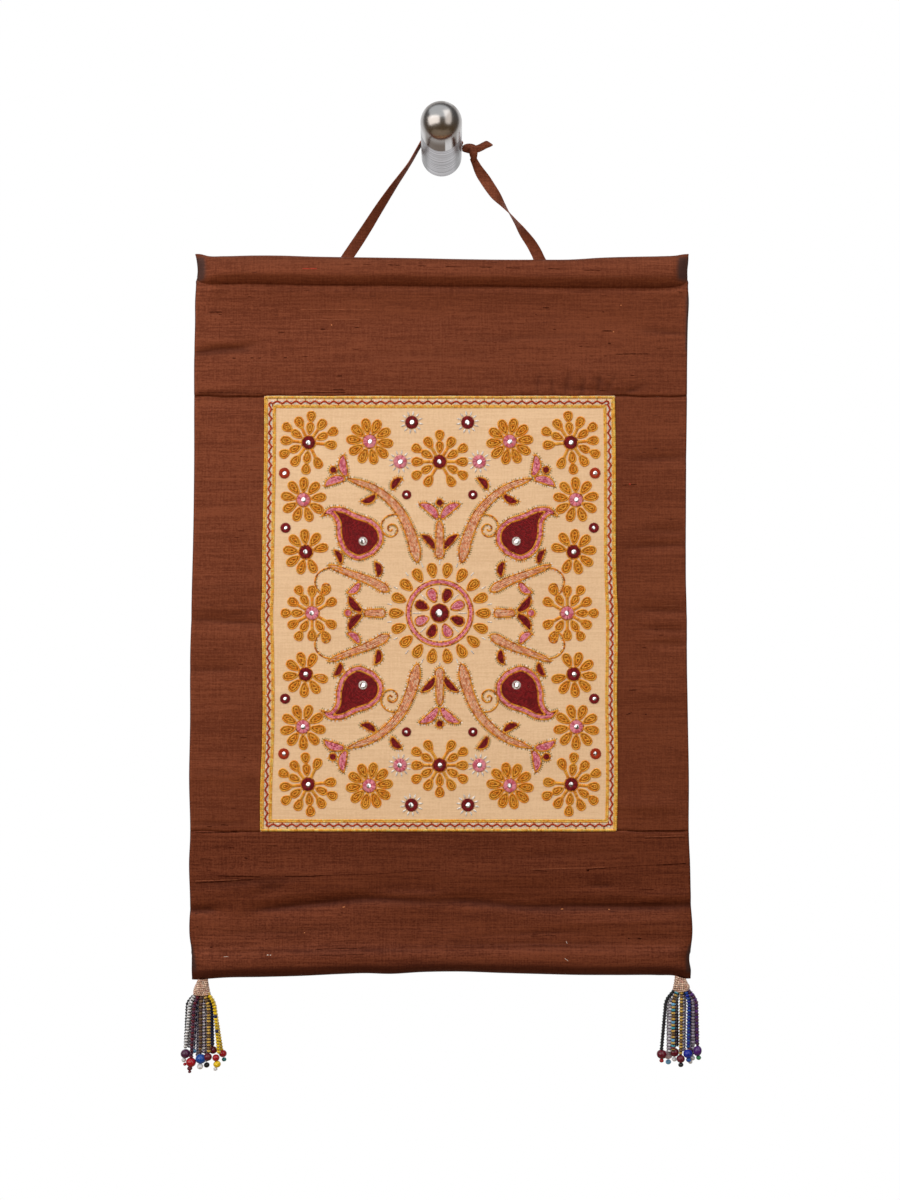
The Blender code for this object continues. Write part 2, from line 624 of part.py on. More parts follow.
def main():
    for old in list(bpy.data.objects):
        bpy.data.objects.remove(old)
    collection = bpy.data.collections.new("embroidered_hanging")
    cutters = bpy.data.collections.new("hidden_shapes")
    bpy.context.scene.collection.children.link(collection)
    bpy.context.scene.collection.children.link(cutters)
    wall_point = bpy.data.objects.new("wall_point", None)
    collection.objects.link(wall_point)
    cloth_plane = bpy.data.objects.new("cloth_plane", None)
    cloth_plane.location.y = CLOTH_PLANE
    cloth_plane.parent = wall_point
    collection.objects.link(cloth_plane)
    build_cloth(collection, cloth_plane)
    build_knob(collection, cutters, wall_point)
    build_ribbons(collection, wall_point)
    build_tie(collection, cutters, wall_point)
    build_tassel("tassel_left", LEFT_HEAD, LEFT_STRINGS, collection, cutters, wall_point)
    build_tassel("tassel_right", RIGHT_HEAD, RIGHT_STRINGS, collection, cutters, wall_point)


main()
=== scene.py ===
import math
import random
from collections import namedtuple

import bpy
import numpy as np
from mathutils import Matrix, Vector
from mathutils.geometry import tessellate_polygon


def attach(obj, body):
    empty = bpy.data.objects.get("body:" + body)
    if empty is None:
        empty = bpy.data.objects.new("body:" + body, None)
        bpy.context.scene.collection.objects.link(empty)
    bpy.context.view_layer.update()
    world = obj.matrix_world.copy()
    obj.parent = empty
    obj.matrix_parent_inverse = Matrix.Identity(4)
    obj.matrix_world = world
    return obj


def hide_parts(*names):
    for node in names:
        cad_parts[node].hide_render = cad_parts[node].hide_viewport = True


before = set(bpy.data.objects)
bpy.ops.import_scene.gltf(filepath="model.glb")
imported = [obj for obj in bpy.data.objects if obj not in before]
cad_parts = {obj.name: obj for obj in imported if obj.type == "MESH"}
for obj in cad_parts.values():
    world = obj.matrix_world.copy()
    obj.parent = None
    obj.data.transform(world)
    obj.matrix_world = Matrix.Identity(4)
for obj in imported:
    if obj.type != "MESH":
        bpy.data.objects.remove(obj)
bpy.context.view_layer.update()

# A wall hanging of brown slubbed silk with an embroidered cream panel, tied by its own ribbon to a
# metal wall knob. Metres, +Z up, the wall is the plane Y = 0 and the cloth's front faces -Y.
# Tables are in millimetres, as measured, and MM turns them into metres.
MM = 0.001
bpy.ops.object.select_all(action="DESELECT")


# The camera stands 1.4 m in front of the middle of the cloth and looks up by a degree and a half.
camera_data = bpy.data.cameras.new("camera")
camera_data.sensor_fit = "VERTICAL"
camera_data.sensor_height = 36.0
camera_data.lens = 53.49
camera = bpy.data.objects.new("camera", camera_data)
camera.location = (0.0067, -1.406, -0.3893)
camera.rotation_euler = (math.radians(91.5), 0.0, 0.0)
bpy.context.scene.collection.objects.link(camera)
bpy.context.scene.camera = camera


# The studio: a large soft box at each side of the camera, a smaller one overhead and a pale floor
# far below. The room is dim in front, warmer towards the floor, and white at the wall.
def soft_box(name, place, target, wide, tall, power, colour):
    bpy.ops.object.light_add(type="AREA", location=place)
    box = bpy.context.object
    box.name = name
    box.data.shape = "RECTANGLE"
    box.data.size = wide
    box.data.size_y = tall
    box.data.energy = power
    box.data.color = colour
    aim = Vector(target) - Vector(place)
    box.rotation_euler = aim.to_track_quat("-Z", "Y").to_euler()


WARM_LAMP, COOL_LAMP = (1.0, 0.955, 0.91), (0.88, 0.95, 1.0)
soft_box("left_soft_box", (-1.09, -1.25, 0.02), (0.0, 0.0, -0.34), 2.1, 1.3, 18.0, WARM_LAMP)
soft_box("right_soft_box", (1.03, -1.28, 0.42), (0.0, 0.0, -0.30), 1.1, 2.5, 11.5, WARM_LAMP)
soft_box("top_soft_box", (-0.30, -0.98, 1.35), (0.0, 0.0, -0.10), 3.4, 2.6, 26.0, COOL_LAMP)

world = bpy.data.worlds.new("room")
bpy.context.scene.world = world
world.use_nodes = True
room = world.node_tree
room.nodes.clear()
direction = room.nodes.new("ShaderNodeTexCoord")
axes = room.nodes.new("ShaderNodeSeparateXYZ")
room.links.new(direction.outputs["Generated"], axes.inputs[0])
height_ramp = room.nodes.new("ShaderNodeValToRGB")
height_ramp.color_ramp.elements[0].position = 0.25
height_ramp.color_ramp.elements[0].color = (0.13, 0.085, 0.045, 1.0)
height_ramp.color_ramp.elements[1].position = 0.75
height_ramp.color_ramp.elements[1].color = (0.12, 0.12, 0.12, 1.0)
height_share = room.nodes.new("ShaderNodeMapRange")
height_share.inputs["From Min"].default_value = -1.0
room.links.new(axes.outputs["Z"], height_share.inputs["Value"])
room.links.new(height_share.outputs[0], height_ramp.inputs["Fac"])
wall_share = room.nodes.new("ShaderNodeMapRange")
wall_share.interpolation_type = "SMOOTHSTEP"
wall_share.inputs["From Min"].default_value = 0.28
wall_share.inputs["From Max"].default_value = 0.56
room.links.new(axes.outputs["Y"], wall_share.inputs["Value"])
wall_mix = room.nodes.new("ShaderNodeMix")
wall_mix.data_type = "RGBA"
wall_mix.inputs[7].default_value = (0.85, 0.85, 0.85, 1.0)
room.links.new(wall_share.outputs[0], wall_mix.inputs[0])
room.links.new(height_ramp.outputs["Color"], wall_mix.inputs[6])
lighting = room.nodes.new("ShaderNodeBackground")
room.links.new(wall_mix.outputs[2], lighting.inputs["Color"])
backdrop = room.nodes.new("ShaderNodeBackground")
backdrop.inputs["Color"].default_value = (1.0, 1.0, 1.0, 1.0)
seen = room.nodes.new("ShaderNodeLightPath")
choose = room.nodes.new("ShaderNodeMixShader")
room.links.new(seen.outputs["Is Camera Ray"], choose.inputs[0])
room.links.new(lighting.outputs[0], choose.inputs[1])
room.links.new(backdrop.outputs[0], choose.inputs[2])
output = room.nodes.new("ShaderNodeOutputWorld")
room.links.new(choose.outputs[0], output.inputs["Surface"])
bpy.context.scene.view_settings.view_transform = "Standard"

FLOOR_HEIGHT = -1.62
bpy.ops.mesh.primitive_plane_add(size=1.0, location=(0.0, 0.0, FLOOR_HEIGHT))
floor = bpy.context.object
floor.name = "floor"
floor.scale = (3.2, 2.2, 1.0)


def new_material(name):
    """A material with its nodes and its shader."""
    material = bpy.data.materials.new(name)
    material.use_nodes = True
    return material, material.node_tree, material.node_tree.nodes["Principled BSDF"]


pale, _, shader = new_material("pale_floor")
shader.inputs["Base Color"].default_value = (0.46, 0.35, 0.24, 1.0)
shader.inputs["Roughness"].default_value = 0.8
floor.data.materials.append(pale)


# The brown silk and its weave. It is dupion: fine warp, and thick uneven weft threads whose slubs
# show as level dashes. The group serves every silk of the hanging, each with its own values.
def feed(tree, socket, value):
    """Sets a socket to a number or a colour, or links another socket to it."""
    if isinstance(value, float):
        socket.default_value = value
    elif isinstance(value, tuple):
        socket.default_value = (*value, 1.0)
    else:
        tree.links.new(value, socket)


def math_node(tree, operation, *values):
    node = tree.nodes.new("ShaderNodeMath")
    node.operation = operation
    for socket, value in zip(node.inputs, values):
        feed(tree, socket, value)
    return node.outputs[0]


def mixed(tree, first, second, share, blend="MIX"):
    """One colour mixed with another, or multiplied by it."""
    node = tree.nodes.new("ShaderNodeMix")
    node.data_type = "RGBA"
    node.blend_type = blend
    for number, value in ((6, first), (7, second), (0, share)):
        feed(tree, node.inputs[number], value)
    return node.outputs[2]


def attribute(tree, name, output="Fac"):
    node = tree.nodes.new("ShaderNodeAttribute")
    node.attribute_name = name
    return node.outputs[output]


def relief(tree, shader, height, strength, distance):
    """Fine relief of the surface from a height."""
    bump = tree.nodes.new("ShaderNodeBump")
    bump.inputs["Strength"].default_value = strength
    bump.inputs["Distance"].default_value = distance
    tree.links.new(height, bump.inputs["Height"])
    tree.links.new(bump.outputs["Normal"], shader.inputs["Normal"])


def streaks(tree, vector, across, along, detail=2.0, inwards=1.0):
    """Noise drawn out along the threads: across, along and inwards are its repeats in a metre."""
    stretch = tree.nodes.new("ShaderNodeVectorMath")
    stretch.operation = "MULTIPLY"
    stretch.inputs[1].default_value = (across, inwards, along)
    tree.links.new(vector, stretch.inputs[0])
    noise = tree.nodes.new("ShaderNodeTexNoise")
    noise.inputs["Scale"].default_value = 1.0
    noise.inputs["Detail"].default_value = detail
    tree.links.new(stretch.outputs[0], noise.inputs["Vector"])
    return noise.outputs["Fac"]


def speckle(tree, scale):
    """Even noise in the object's own coordinates."""
    coordinates = tree.nodes.new("ShaderNodeTexCoord")
    noise = tree.nodes.new("ShaderNodeTexNoise")
    noise.inputs["Scale"].default_value = scale
    tree.links.new(coordinates.outputs["Object"], noise.inputs["Vector"])
    return noise.outputs["Fac"]


def between(tree, value, *limits):
    """A smooth step: where it starts and ends, and the values there unless they are 0 and 1."""
    ramp = tree.nodes.new("ShaderNodeMapRange")
    ramp.interpolation_type = "SMOOTHSTEP"
    for label, number in zip(("From Min", "From Max", "To Min", "To Max"), limits):
        ramp.inputs[label].default_value = number
    tree.links.new(value, ramp.inputs["Value"])
    return ramp.outputs[0]


weave = bpy.data.node_groups.new("silk_weave", "ShaderNodeTree")
weave.interface.new_socket("Vector", in_out="INPUT", socket_type="NodeSocketVector")
for label in ("Tone", "Slub", "Fleck", "Height"):
    weave.interface.new_socket(label, in_out="OUTPUT", socket_type="NodeSocketFloat")
place_in = weave.nodes.new("NodeGroupInput").outputs["Vector"]
weave_out = weave.nodes.new("NodeGroupOutput")
thick_weft = streaks(weave, place_in, 20.0, 560.0, 3.0)
short_weft = streaks(weave, place_in, 210.0, 900.0)
fine_weft = streaks(weave, place_in, 70.0, 1500.0)
warp = streaks(weave, place_in, 800.0, 60.0, 1.0)
grain = streaks(weave, place_in, 620.0, 760.0, 1.0)
cloudy = streaks(weave, place_in, 5.0, 34.0, 2.0)
tone = 0.0
for threads, weight in ((thick_weft, 0.24), (short_weft, 0.14), (fine_weft, 0.18),
                        (warp, 0.13), (grain, 0.17), (cloudy, 0.14)):
    tone = math_node(weave, "MULTIPLY_ADD", threads, weight, tone)
weave.links.new(between(weave, tone, 0.41, 0.59), weave_out.inputs["Tone"])
slub_noise = streaks(weave, place_in, 80.0, 700.0, 1.5)
weave.links.new(between(weave, slub_noise, 0.70, 0.76), weave_out.inputs["Slub"])
fleck_noise = streaks(weave, place_in, 24.0, 620.0, 1.0)
weave.links.new(between(weave, fleck_noise, 0.72, 0.78), weave_out.inputs["Fleck"])
height = thick_weft
for threads, weight in ((fine_weft, 0.5), (warp, 0.6), (grain, 0.5)):
    height = math_node(weave, "MULTIPLY_ADD", threads, weight, height)
weave.links.new(height, weave_out.inputs["Height"])


def silk(name, dark, light, slub, fleck, roughness, bump, lustre, shot_sheen_tone=None):
    """A silk in two tones with darker slubs and some paler weft threads. A silk with a shot sheen tone
    is darkened where it is marked with painted shade. Where it is marked turned it has its warp's own
    shot tone, painted there in place of the sheen that the shot warp shows."""
    material, tree, shader = new_material(name)
    coordinates = tree.nodes.new("ShaderNodeTexCoord")
    group = tree.nodes.new("ShaderNodeGroup")
    group.node_tree = weave
    tree.links.new(coordinates.outputs["Object"], group.inputs["Vector"])
    colour = mixed(tree, dark, light, group.outputs["Tone"])
    colour = mixed(tree, colour, slub, math_node(tree, "MULTIPLY", group.outputs["Slub"], 0.75))
    colour = mixed(tree, colour, fleck, math_node(tree, "MULTIPLY", group.outputs["Fleck"], 0.4))
    if shot_sheen_tone:
        # Painted shade: darker towards the slub tone under the rolls and down in the creases.
        colour = mixed(tree, colour, slub, attribute(tree, "painted_shade"))
        # Painted sheen: the shot warp's dark bluish tone at the turned ends of the rolls and along some
        # edges.
        colour = mixed(tree, colour, shot_sheen_tone, attribute(tree, "turned"))
    tree.links.new(colour, shader.inputs["Base Color"])
    tree.links.new(between(tree, group.outputs["Tone"], 0.0, 1.0, roughness + 0.08, roughness - 0.06),
                   shader.inputs["Roughness"])
    shader.inputs["Specular IOR Level"].default_value = 0.15
    shader.inputs["Metallic"].default_value = lustre
    relief(tree, shader, group.outputs["Height"], bump, 0.25 * MM)
    return material


brown_silk = silk("brown_silk", dark=(0.135, 0.029, 0.010), light=(0.225, 0.057, 0.022),
                  slub=(0.065, 0.013, 0.005), fleck=(0.27, 0.085, 0.040),
                  roughness=0.52, bump=0.6, lustre=0.35, shot_sheen_tone=(0.060, 0.034, 0.030))
# A darker copy of the brown silk for the bottom band: painted shade for the lower part of the hanging.
brown_silk_painted_shade = silk("brown_silk_painted_shade", dark=(0.100, 0.019, 0.006), light=(0.205, 0.050, 0.019),
                       slub=(0.050, 0.009, 0.004), fleck=(0.25, 0.075, 0.034),
                       roughness=0.52, bump=0.6, lustre=0.35, shot_sheen_tone=(0.050, 0.026, 0.022))


# The top band, a cut of brown silk whose upper end is sewn round a rod as a filled pocket. Its
# edges, the pocket's sections and the soft folds have the same tables as the solids of the hanging.
CLOTH_PLANE = -6.5 * MM
CLOTH_FRONT = 1.1 * MM
SILK_THICKNESS = 1.2 * MM
TOP_SEAM = -192.3 * MM
BOTTOM_SEAM = -533.7 * MM
Side = namedtuple("Side", "height left right")
SIDES = [Side(*row) for row in (
    (-648.3, -194.6, 194.4), (-641.3, -194.8, 194.6), (-633.3, -194.8, 193.4), (-625.3, -195.2, 194.6),
    (-618.3, -196.4, 195.7), (-587.3, -196.5, 195), (-556.3, -197.4, 194.4), (-540.3, -196.7, 193.7),
    (-493.3, -197.6, 193.8), (-446.3, -197, 193.2), (-399.3, -197.2, 192.6), (-368.3, -196.5, 192.7),
    (-337.3, -195.9, 192), (-305.3, -195.2, 192.1), (-242.3, -194.6, 192.6), (-195.3, -194.8, 193.3),
    (-163.3, -194.9, 193.6), (-132.3, -194.3, 194.3), (-116.3, -194.3, 195), (-103.3, -193.4, 194.2),
    (-93.3, -192.2, 193.8), (-85.3, -193, 194.6), (-79.3, -194.2, 194.8),
)]
Roll = namedtuple("Roll", "across edge tall deep forward")
POCKET = [Roll(*row) for row in (
    (-194.2, -79.5, 23, 3, 0.4), (-190.5, -79.8, 23.6, 6.8, 1.4), (-184, -81.7, 22.8, 11.6, 2.5),
    (-172, -82, 22.4, 14.2, 3), (-150, -81.5, 22.8, 14.8, 3), (-127, -81.6, 23.2, 15.2, 3.2),
    (-103, -82.3, 23, 14.8, 3), (-76, -82.8, 22.8, 15, 3), (-48, -83.2, 22.4, 15.3, 3.2),
    (-20, -83.6, 22.4, 15, 3), (12, -84.3, 22, 14.8, 3), (46, -84.8, 21.6, 15, 3.1),
    (76, -84.8, 22.2, 15, 3), (101, -84.7, 22.8, 15.3, 3.2), (125, -83.2, 24.4, 15, 3),
    (152, -82.4, 25.2, 14.8, 3), (172, -82, 25.6, 14.2, 3), (184, -81.3, 25.4, 11.6, 2.5),
    (190.5, -80, 25.2, 6.8, 1.4), (194.4, -79.5, 24, 3, 0.4),
)]
Fold = namedtuple("Fold", "across height reach spread slope rise")
FOLDS = [Fold(*row) for row in (
    (128, -176.3, 38, 12, 0, 1.3), (-166, -155.3, 28, 7, 3, -0.9), (-60, -133.3, 90, 12, 1, -0.7),
    (150, -123.3, 48, 9, -2, 0.8), (-166, -195.3, 32, 6, 2, -1), (-168, -342.3, 26, 7, 0, 0.8),
    (-169, -369.3, 34, 6.5, -4, -1.6), (-178, -407.3, 24, 7.5, 0, -1.1), (-168, -487.3, 30, 8, 0, 0.8),
    (176, -241, 20, 6, 0, -0.9), (178, -298, 16, 5, 0, -0.8), (174, -310, 22, 5.5, 3, -1),
    (174, -361, 22, 6, -2, -1.2), (178, -376, 17, 5, -2, -1), (180, -388, 15, 5, -2, -0.9),
    (162, -425.3, 30, 10, 0, 0.7), (162, -513.3, 26, 7, 0, 1), (-40, -425.3, 120, 26, 2, 0.6),
    (30, -305.3, 110, 24, -2, 0.5), (-184, -595.3, 20, 6, 0, -1), (-97, -590.3, 52, 9, 5, -2),
    (-120, -571.3, 60, 9, 4, 0.9), (-28, -579.3, 36, 8, 0, -1.2), (48, -585.3, 44, 9, 0, -1.8),
    (60, -567.3, 70, 10, 1, 0.8), (136, -591.3, 62, 8, -2, -1.6), (130, -605.3, 60, 8, -2, 0.9),
)]
# Narrow creases in the silk itself, too fine for the solids, in the same columns as the folds.
CREASES = [Fold(*row) for row in (
    (-169, -369.9, 30, 1.7, -4, -0.55), (-156, -363, 12, 1.6, 6, -0.30), (-182, -408.3, 15, 1.6, 0, -0.45),
    (-172, -342.5, 22, 1.8, 2, -0.32), (-178, -487.3, 17, 1.7, -2, -0.30), (-174, -527.9, 22, 2, 1, -0.38),
    (-168, -154.5, 24, 2, -8, -0.35), (-180, -440, 16, 2.2, 5, 0.22), (-165, -262, 26, 2.4, -3, -0.20),
    (-176, -300, 20, 2.6, 3, 0.20), (170, -241.5, 24, 1.8, 2, -0.40), (172, -298.5, 20, 1.6, -2, -0.35),
    (168, -310.3, 24, 1.7, 3, -0.40), (168, -361, 24, 1.8, -2, -0.42), (174, -376.2, 19, 1.6, -2, -0.35),
    (176, -387, 17, 1.5, -2, -0.30), (166, -454, 24, 2.4, 2, -0.20), (160, -513.9, 20, 2.2, 0, 0.30),
    (104, -172, 17, 2, -28, 0.38), (122, -179, 15, 1.8, -22, -0.36), (137, -184, 13, 1.7, -32, 0.34),
    (112, -186.5, 18, 1.5, -6, -0.40), (152, -187, 11, 1.6, 24, -0.34), (-172, -189.8, 20, 1.6, 5, -0.42),
    (-97, -590.6, 44, 2.2, 5, -0.50), (-28, -579.3, 28, 2, 0, -0.40), (48, -585.5, 34, 2.2, 0, -0.45),
    (136, -591.8, 56, 2, -2, -0.50), (-186, -595.7, 11, 1.6, 0, -0.40), (-30, -548, 46, 3, -2, 0.25),
    (96, -552, 44, 2.6, 3, -0.22), (-130, -612, 40, 2.4, 2, -0.25), (20, -614, 60, 2.6, -1, 0.24),
    (60, -146, 52, 3, 2, -0.22), (-120, -170, 42, 3, -2, 0.22), (-10, -160, 60, 3.2, 1, -0.16),
    (-170, -154.8, 26, 2.6, 9, -0.60), (174, -141, 18, 2.4, -4, -0.45), (75.5, -184, 8, 1.6, 84, -0.50),
    (87.5, -185, 7.5, 1.5, 96, -0.50), (99, -182, 9, 2, 78, -0.45), (111, -184.5, 9, 1.5, 88, -0.60),
    (117.5, -178, 10, 1.8, 98, 0.40), (124, -183.5, 10, 1.6, 80, -0.60), (133, -183, 8, 1.8, 66, -0.40),
    (141, -188.5, 14, 1.4, 4, -0.45), (-106, -583.6, 42, 5, 6, 0.75), (-104, -590.6, 40, 3, 6, -0.95),
    (-36, -581, 38, 5, -3, 0.65), (-34, -587.6, 36, 3, -3, -0.85), (40, -583, 44, 5.5, -5, 0.75),
    (42, -590.4, 42, 3, -5, -0.95), (120, -585, 56, 5.5, -1, 0.85), (120, -592.8, 54, 2.8, 0, -1.15),
    (178, -584.4, 22, 4.5, 2, 0.70), (180, -591, 20, 2.6, 2, -0.95), (-190, -594.6, 12, 2.4, 0, -0.85),
    (-150, -572.8, 40, 3.6, 4, -0.55), (-132, -577.4, 9, 2.4, 0, -0.55), (-136, -582, 12, 2.6, 0, -0.35),
    (-70, -626, 60, 1.8, 1, -0.55), (-62, -629.4, 52, 1.8, 1, 0.45), (60, -613.6, 46, 1.8, 2, -0.45),
    (70, -622, 60, 3, 0, -0.40), (140, -604, 46, 1.6, 2, 0.30), (125, -576, 10, 2, 0, -0.55),
    (-172, -150, 22, 5, 0, 0.55), (-172, -156.4, 22, 2.6, 3, -0.55),
)]


def eased(knots, values, at):
    """Values between the knots of a table, on one smooth curve through them."""
    knots, values = np.asarray(knots, float), np.asarray(values, float)
    at = np.clip(at, knots[0], knots[-1])
    slopes = np.gradient(values, knots)
    i = np.clip(np.searchsorted(knots, at) - 1, 0, len(knots) - 2)
    step = knots[i + 1] - knots[i]
    t = (at - knots[i]) / step
    return ((2 * t ** 3 - 3 * t ** 2 + 1) * values[i] + (t ** 3 - 2 * t ** 2 + t) * step * slopes[i]
            + (3 * t ** 2 - 2 * t ** 3) * values[i + 1] + (t ** 3 - t ** 2) * step * slopes[i + 1])


def column(table, name):
    return [getattr(row, name) * MM for row in table]


def cloth_edge(table, name, z):
    return eased(column(table, "height"), column(table, name), z)


def rise(folds, x, z):
    """How far the folds of a table push the cloth forward at each place."""
    total = np.zeros_like(x)
    for fold in folds:
        slope = math.radians(fold.slope)
        across, up = x / MM - fold.across, z / MM - fold.height
        along = across * math.cos(slope) + up * math.sin(slope)
        off = up * math.cos(slope) - across * math.sin(slope)
        total += fold.rise * np.exp(-(off / fold.spread) ** 2 - (along / fold.reach) ** 4)
    return total * MM


def turned_back(distance, reach=1.5 * MM, depth=0.8 * MM):
    """How far back the cloth curls within reach of an edge or a seam."""
    return depth * np.clip(1.0 - distance / reach, 0.0, 1.0) ** 2


def grid_piece(name, columns, rows):
    """A new grid of unit size, with the place of each point in its rows and columns as shares."""
    bpy.ops.mesh.primitive_grid_add(x_subdivisions=columns, y_subdivisions=rows, size=1.0)
    piece = bpy.context.object
    piece.name = name
    places = np.empty(len(piece.data.vertices) * 3)
    piece.data.vertices.foreach_get("co", places)
    places = places.reshape(-1, 3)
    return piece, places[:, 0] + 0.5, places[:, 1] + 0.5


def set_places(piece, x, y, z):
    piece.data.vertices.foreach_set("co", np.stack((x, y, z), 1).ravel())
    piece.data.update()


def crowded(share):
    """Moves grid lines closer together at both ends."""
    return share - 0.06 * np.sin(2.0 * math.pi * share)


def finish_cloth(piece, thickness, material, slot, *nodes):
    """Gives a sheet its thickness behind its front and its material, and ties it to the frame."""
    wall = piece.modifiers.new("thickness", "SOLIDIFY")
    wall.thickness = thickness
    wall.offset = -1.0
    bpy.context.view_layer.objects.active = piece
    bpy.ops.object.modifier_apply(modifier="thickness")
    piece.data.materials.append(material)
    bpy.ops.object.shade_smooth()
    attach(piece, "root")
    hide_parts(*nodes)
    piece.select_set(False)


# Where the shot warp's dark sheen is painted into the colour: the ends of the rolls and the right
# edge under the pocket, each from its top to its bottom with its width at both.
Shot = namedtuple("Shot", "side top bottom wide_top wide_bottom")
SHOT_ENDS = (
    Shot("left", -82.5, -101.5, 7.0, 7.0), Shot("right", -82.5, -101.5, 8.8, 8.8),
    Shot("right", -112.0, -157.0, 2.4, 1.6), Shot("left", -618.0, -642.0, 0.4, 4.6),
    Shot("right", -621.0, -643.0, 2.2, 4.2),
)


def add_painted_sheen_and_shade(piece, x, z, painted_shade=0.0):
    """Marks how much of the shot warp's sheen is painted at each place, and how much painted shade
    darkens it: as given, and down in the creases."""
    shade = np.zeros_like(x)
    for shot in SHOT_ENDS:
        edge = np.abs(x - cloth_edge(SIDES, shot.side, z))
        share = (shot.top * MM - z) / ((shot.top - shot.bottom) * MM)
        wide = (shot.wide_top + (shot.wide_bottom - shot.wide_top) * np.clip(share, 0.0, 1.0)) * MM
        shade += np.exp(-(edge / wide) ** 6 - (2.0 * (share - 0.5)) ** 10)
    # Painted shade down in the creases, where they sink back.
    painted_shade = painted_shade + 0.60 * np.clip(-rise(CREASES, x, z) / (0.7 * MM), 0.0, 1.0)
    for label, values, most in (("painted_shade", painted_shade, 1.0), ("turned", shade, 0.8)):
        mark = piece.data.attributes.new(label, "FLOAT", "POINT")
        mark.data.foreach_set("value", np.clip(values, 0.0, most).astype(np.float32))


def wander(x, z, seam):
    """How far the cloth's threads stray up and down beside a seam."""
    stray = np.sin(95.0 * x + 1.0) + 0.6 * np.sin(230.0 * x)
    return 0.45 * MM * stray * np.exp(-((z - seam) / (7.0 * MM)) ** 2)


BAND_COLUMNS, ROLL_ROWS, TAIL_ROWS = 208, 32, 4
TAIL_STEP, TAIL_DEPTH = 2.2 * MM, 1.3 * MM
# Where the painted shade on a roll's underside fades out, counted from its free edge, and over how much.
UNDER_SHADE_START, UNDER_SHADE_FADE = 10.4 * MM, 4.4 * MM


def band_piece(name, table, seam, sheet_rows, node, cloth, fullest, seam_depth, groove, under):
    """A band from its seam to its filled roll, all round the roll, and sewn down behind it. The roll
    is fullest at that share of its height from its free edge. The groove is the sewn line along
    the roll, and under is how much painted shade darkens the roll's underside."""
    hangs_below = seam < table[0].edge * MM
    rows = sheet_rows + ROLL_ROWS + TAIL_ROWS
    piece, u, v = grid_piece(name, BAND_COLUMNS, rows)
    row = np.round((v if hangs_below else 1.0 - v) * rows).astype(int)
    share = crowded(u)
    low, high = table[0].across * MM, table[-1].across * MM
    at = low + (high - low) * share
    edge, tall, deep, forward = (eased(column(table, "across"), column(table, label), at)
                                 for label in ("edge", "tall", "deep", "forward"))
    downwards = -1.0 if hangs_below else 1.0
    half_deep = 0.5 * deep
    end = math.pi - np.arcsin(np.minimum(1.0, CLOTH_FRONT / half_deep))
    on_sheet = row <= sheet_rows
    fall = row / sheet_rows
    angle = np.clip(end - 2.0 * end * (row - sheet_rows) / ROLL_ROWS, -end, end)
    up, out = np.cos(angle), np.sin(angle)
    full = np.where(up * downwards > 0.0, 1.3, 0.86)
    swell = np.where(up > 0.0, fullest, 1.0 - fullest)
    z = edge + downwards * tall * (fullest - swell * np.sign(up) * np.abs(up) ** full)
    y = -forward - half_deep * np.sign(out) * np.abs(out) ** full
    foot = edge + downwards * tall * (fullest + (1.0 - fullest) * np.abs(np.cos(end)) ** full)
    z = np.where(on_sheet, foot + (seam - foot) * (1.0 - fall), z)
    ease = np.clip(1.0 - (1.0 - fall) * 10.0 / 3.0, 0.0, 1.0) ** 2
    y = np.where(on_sheet, -forward * ease - CLOTH_FRONT, y)
    tail = row - sheet_rows - ROLL_ROWS
    on_tail = tail > 0
    z = np.where(on_tail, foot + downwards * tail * TAIL_STEP, z)
    y = np.where(on_tail, -forward * np.exp(-tail / 2.0) + TAIL_DEPTH, y)
    left, right = cloth_edge(SIDES, "left", z), cloth_edge(SIDES, "right", z)
    x = left + (right - left) * share
    y -= rise(FOLDS, x, z) + np.where(on_sheet, 1.2, 0.5) * rise(CREASES, x, z)
    y = np.where(on_sheet, y + turned_back(np.minimum(x - left, right - x)), y)
    y = np.where(on_sheet, y + turned_back(np.abs(z - seam), 1.6 * MM, seam_depth), y)
    ripple = np.sin(x * 310.0) * 0.5 + np.sin(x * 137.0 + 1.3) * 0.5
    y -= 0.35 * MM * ripple * np.exp(-((z - foot) / (7.0 * MM)) ** 2) * on_sheet
    y += groove * np.exp(-((z - foot) / (2.6 * MM)) ** 2) * on_sheet
    z += wander(x, z, seam)
    set_places(piece, x, CLOTH_PLANE + y, z)
    # Painted shade on the roll's underside, fading out away from its free edge.
    underside = np.clip((UNDER_SHADE_START - downwards * (z - edge)) / UNDER_SHADE_FADE, 0.0, 1.0)
    add_painted_sheen_and_shade(piece, x, z, under * underside * underside * (3.0 - 2.0 * underside))
    finish_cloth(piece, SILK_THICKNESS, cloth, "brown_silk", node)
    return piece


top_band = band_piece("top_band_silk", POCKET, TOP_SEAM, 56, "top_band", brown_silk,
                      fullest=0.63, seam_depth=0.8 * MM, groove=1.4 * MM, under=0.0)


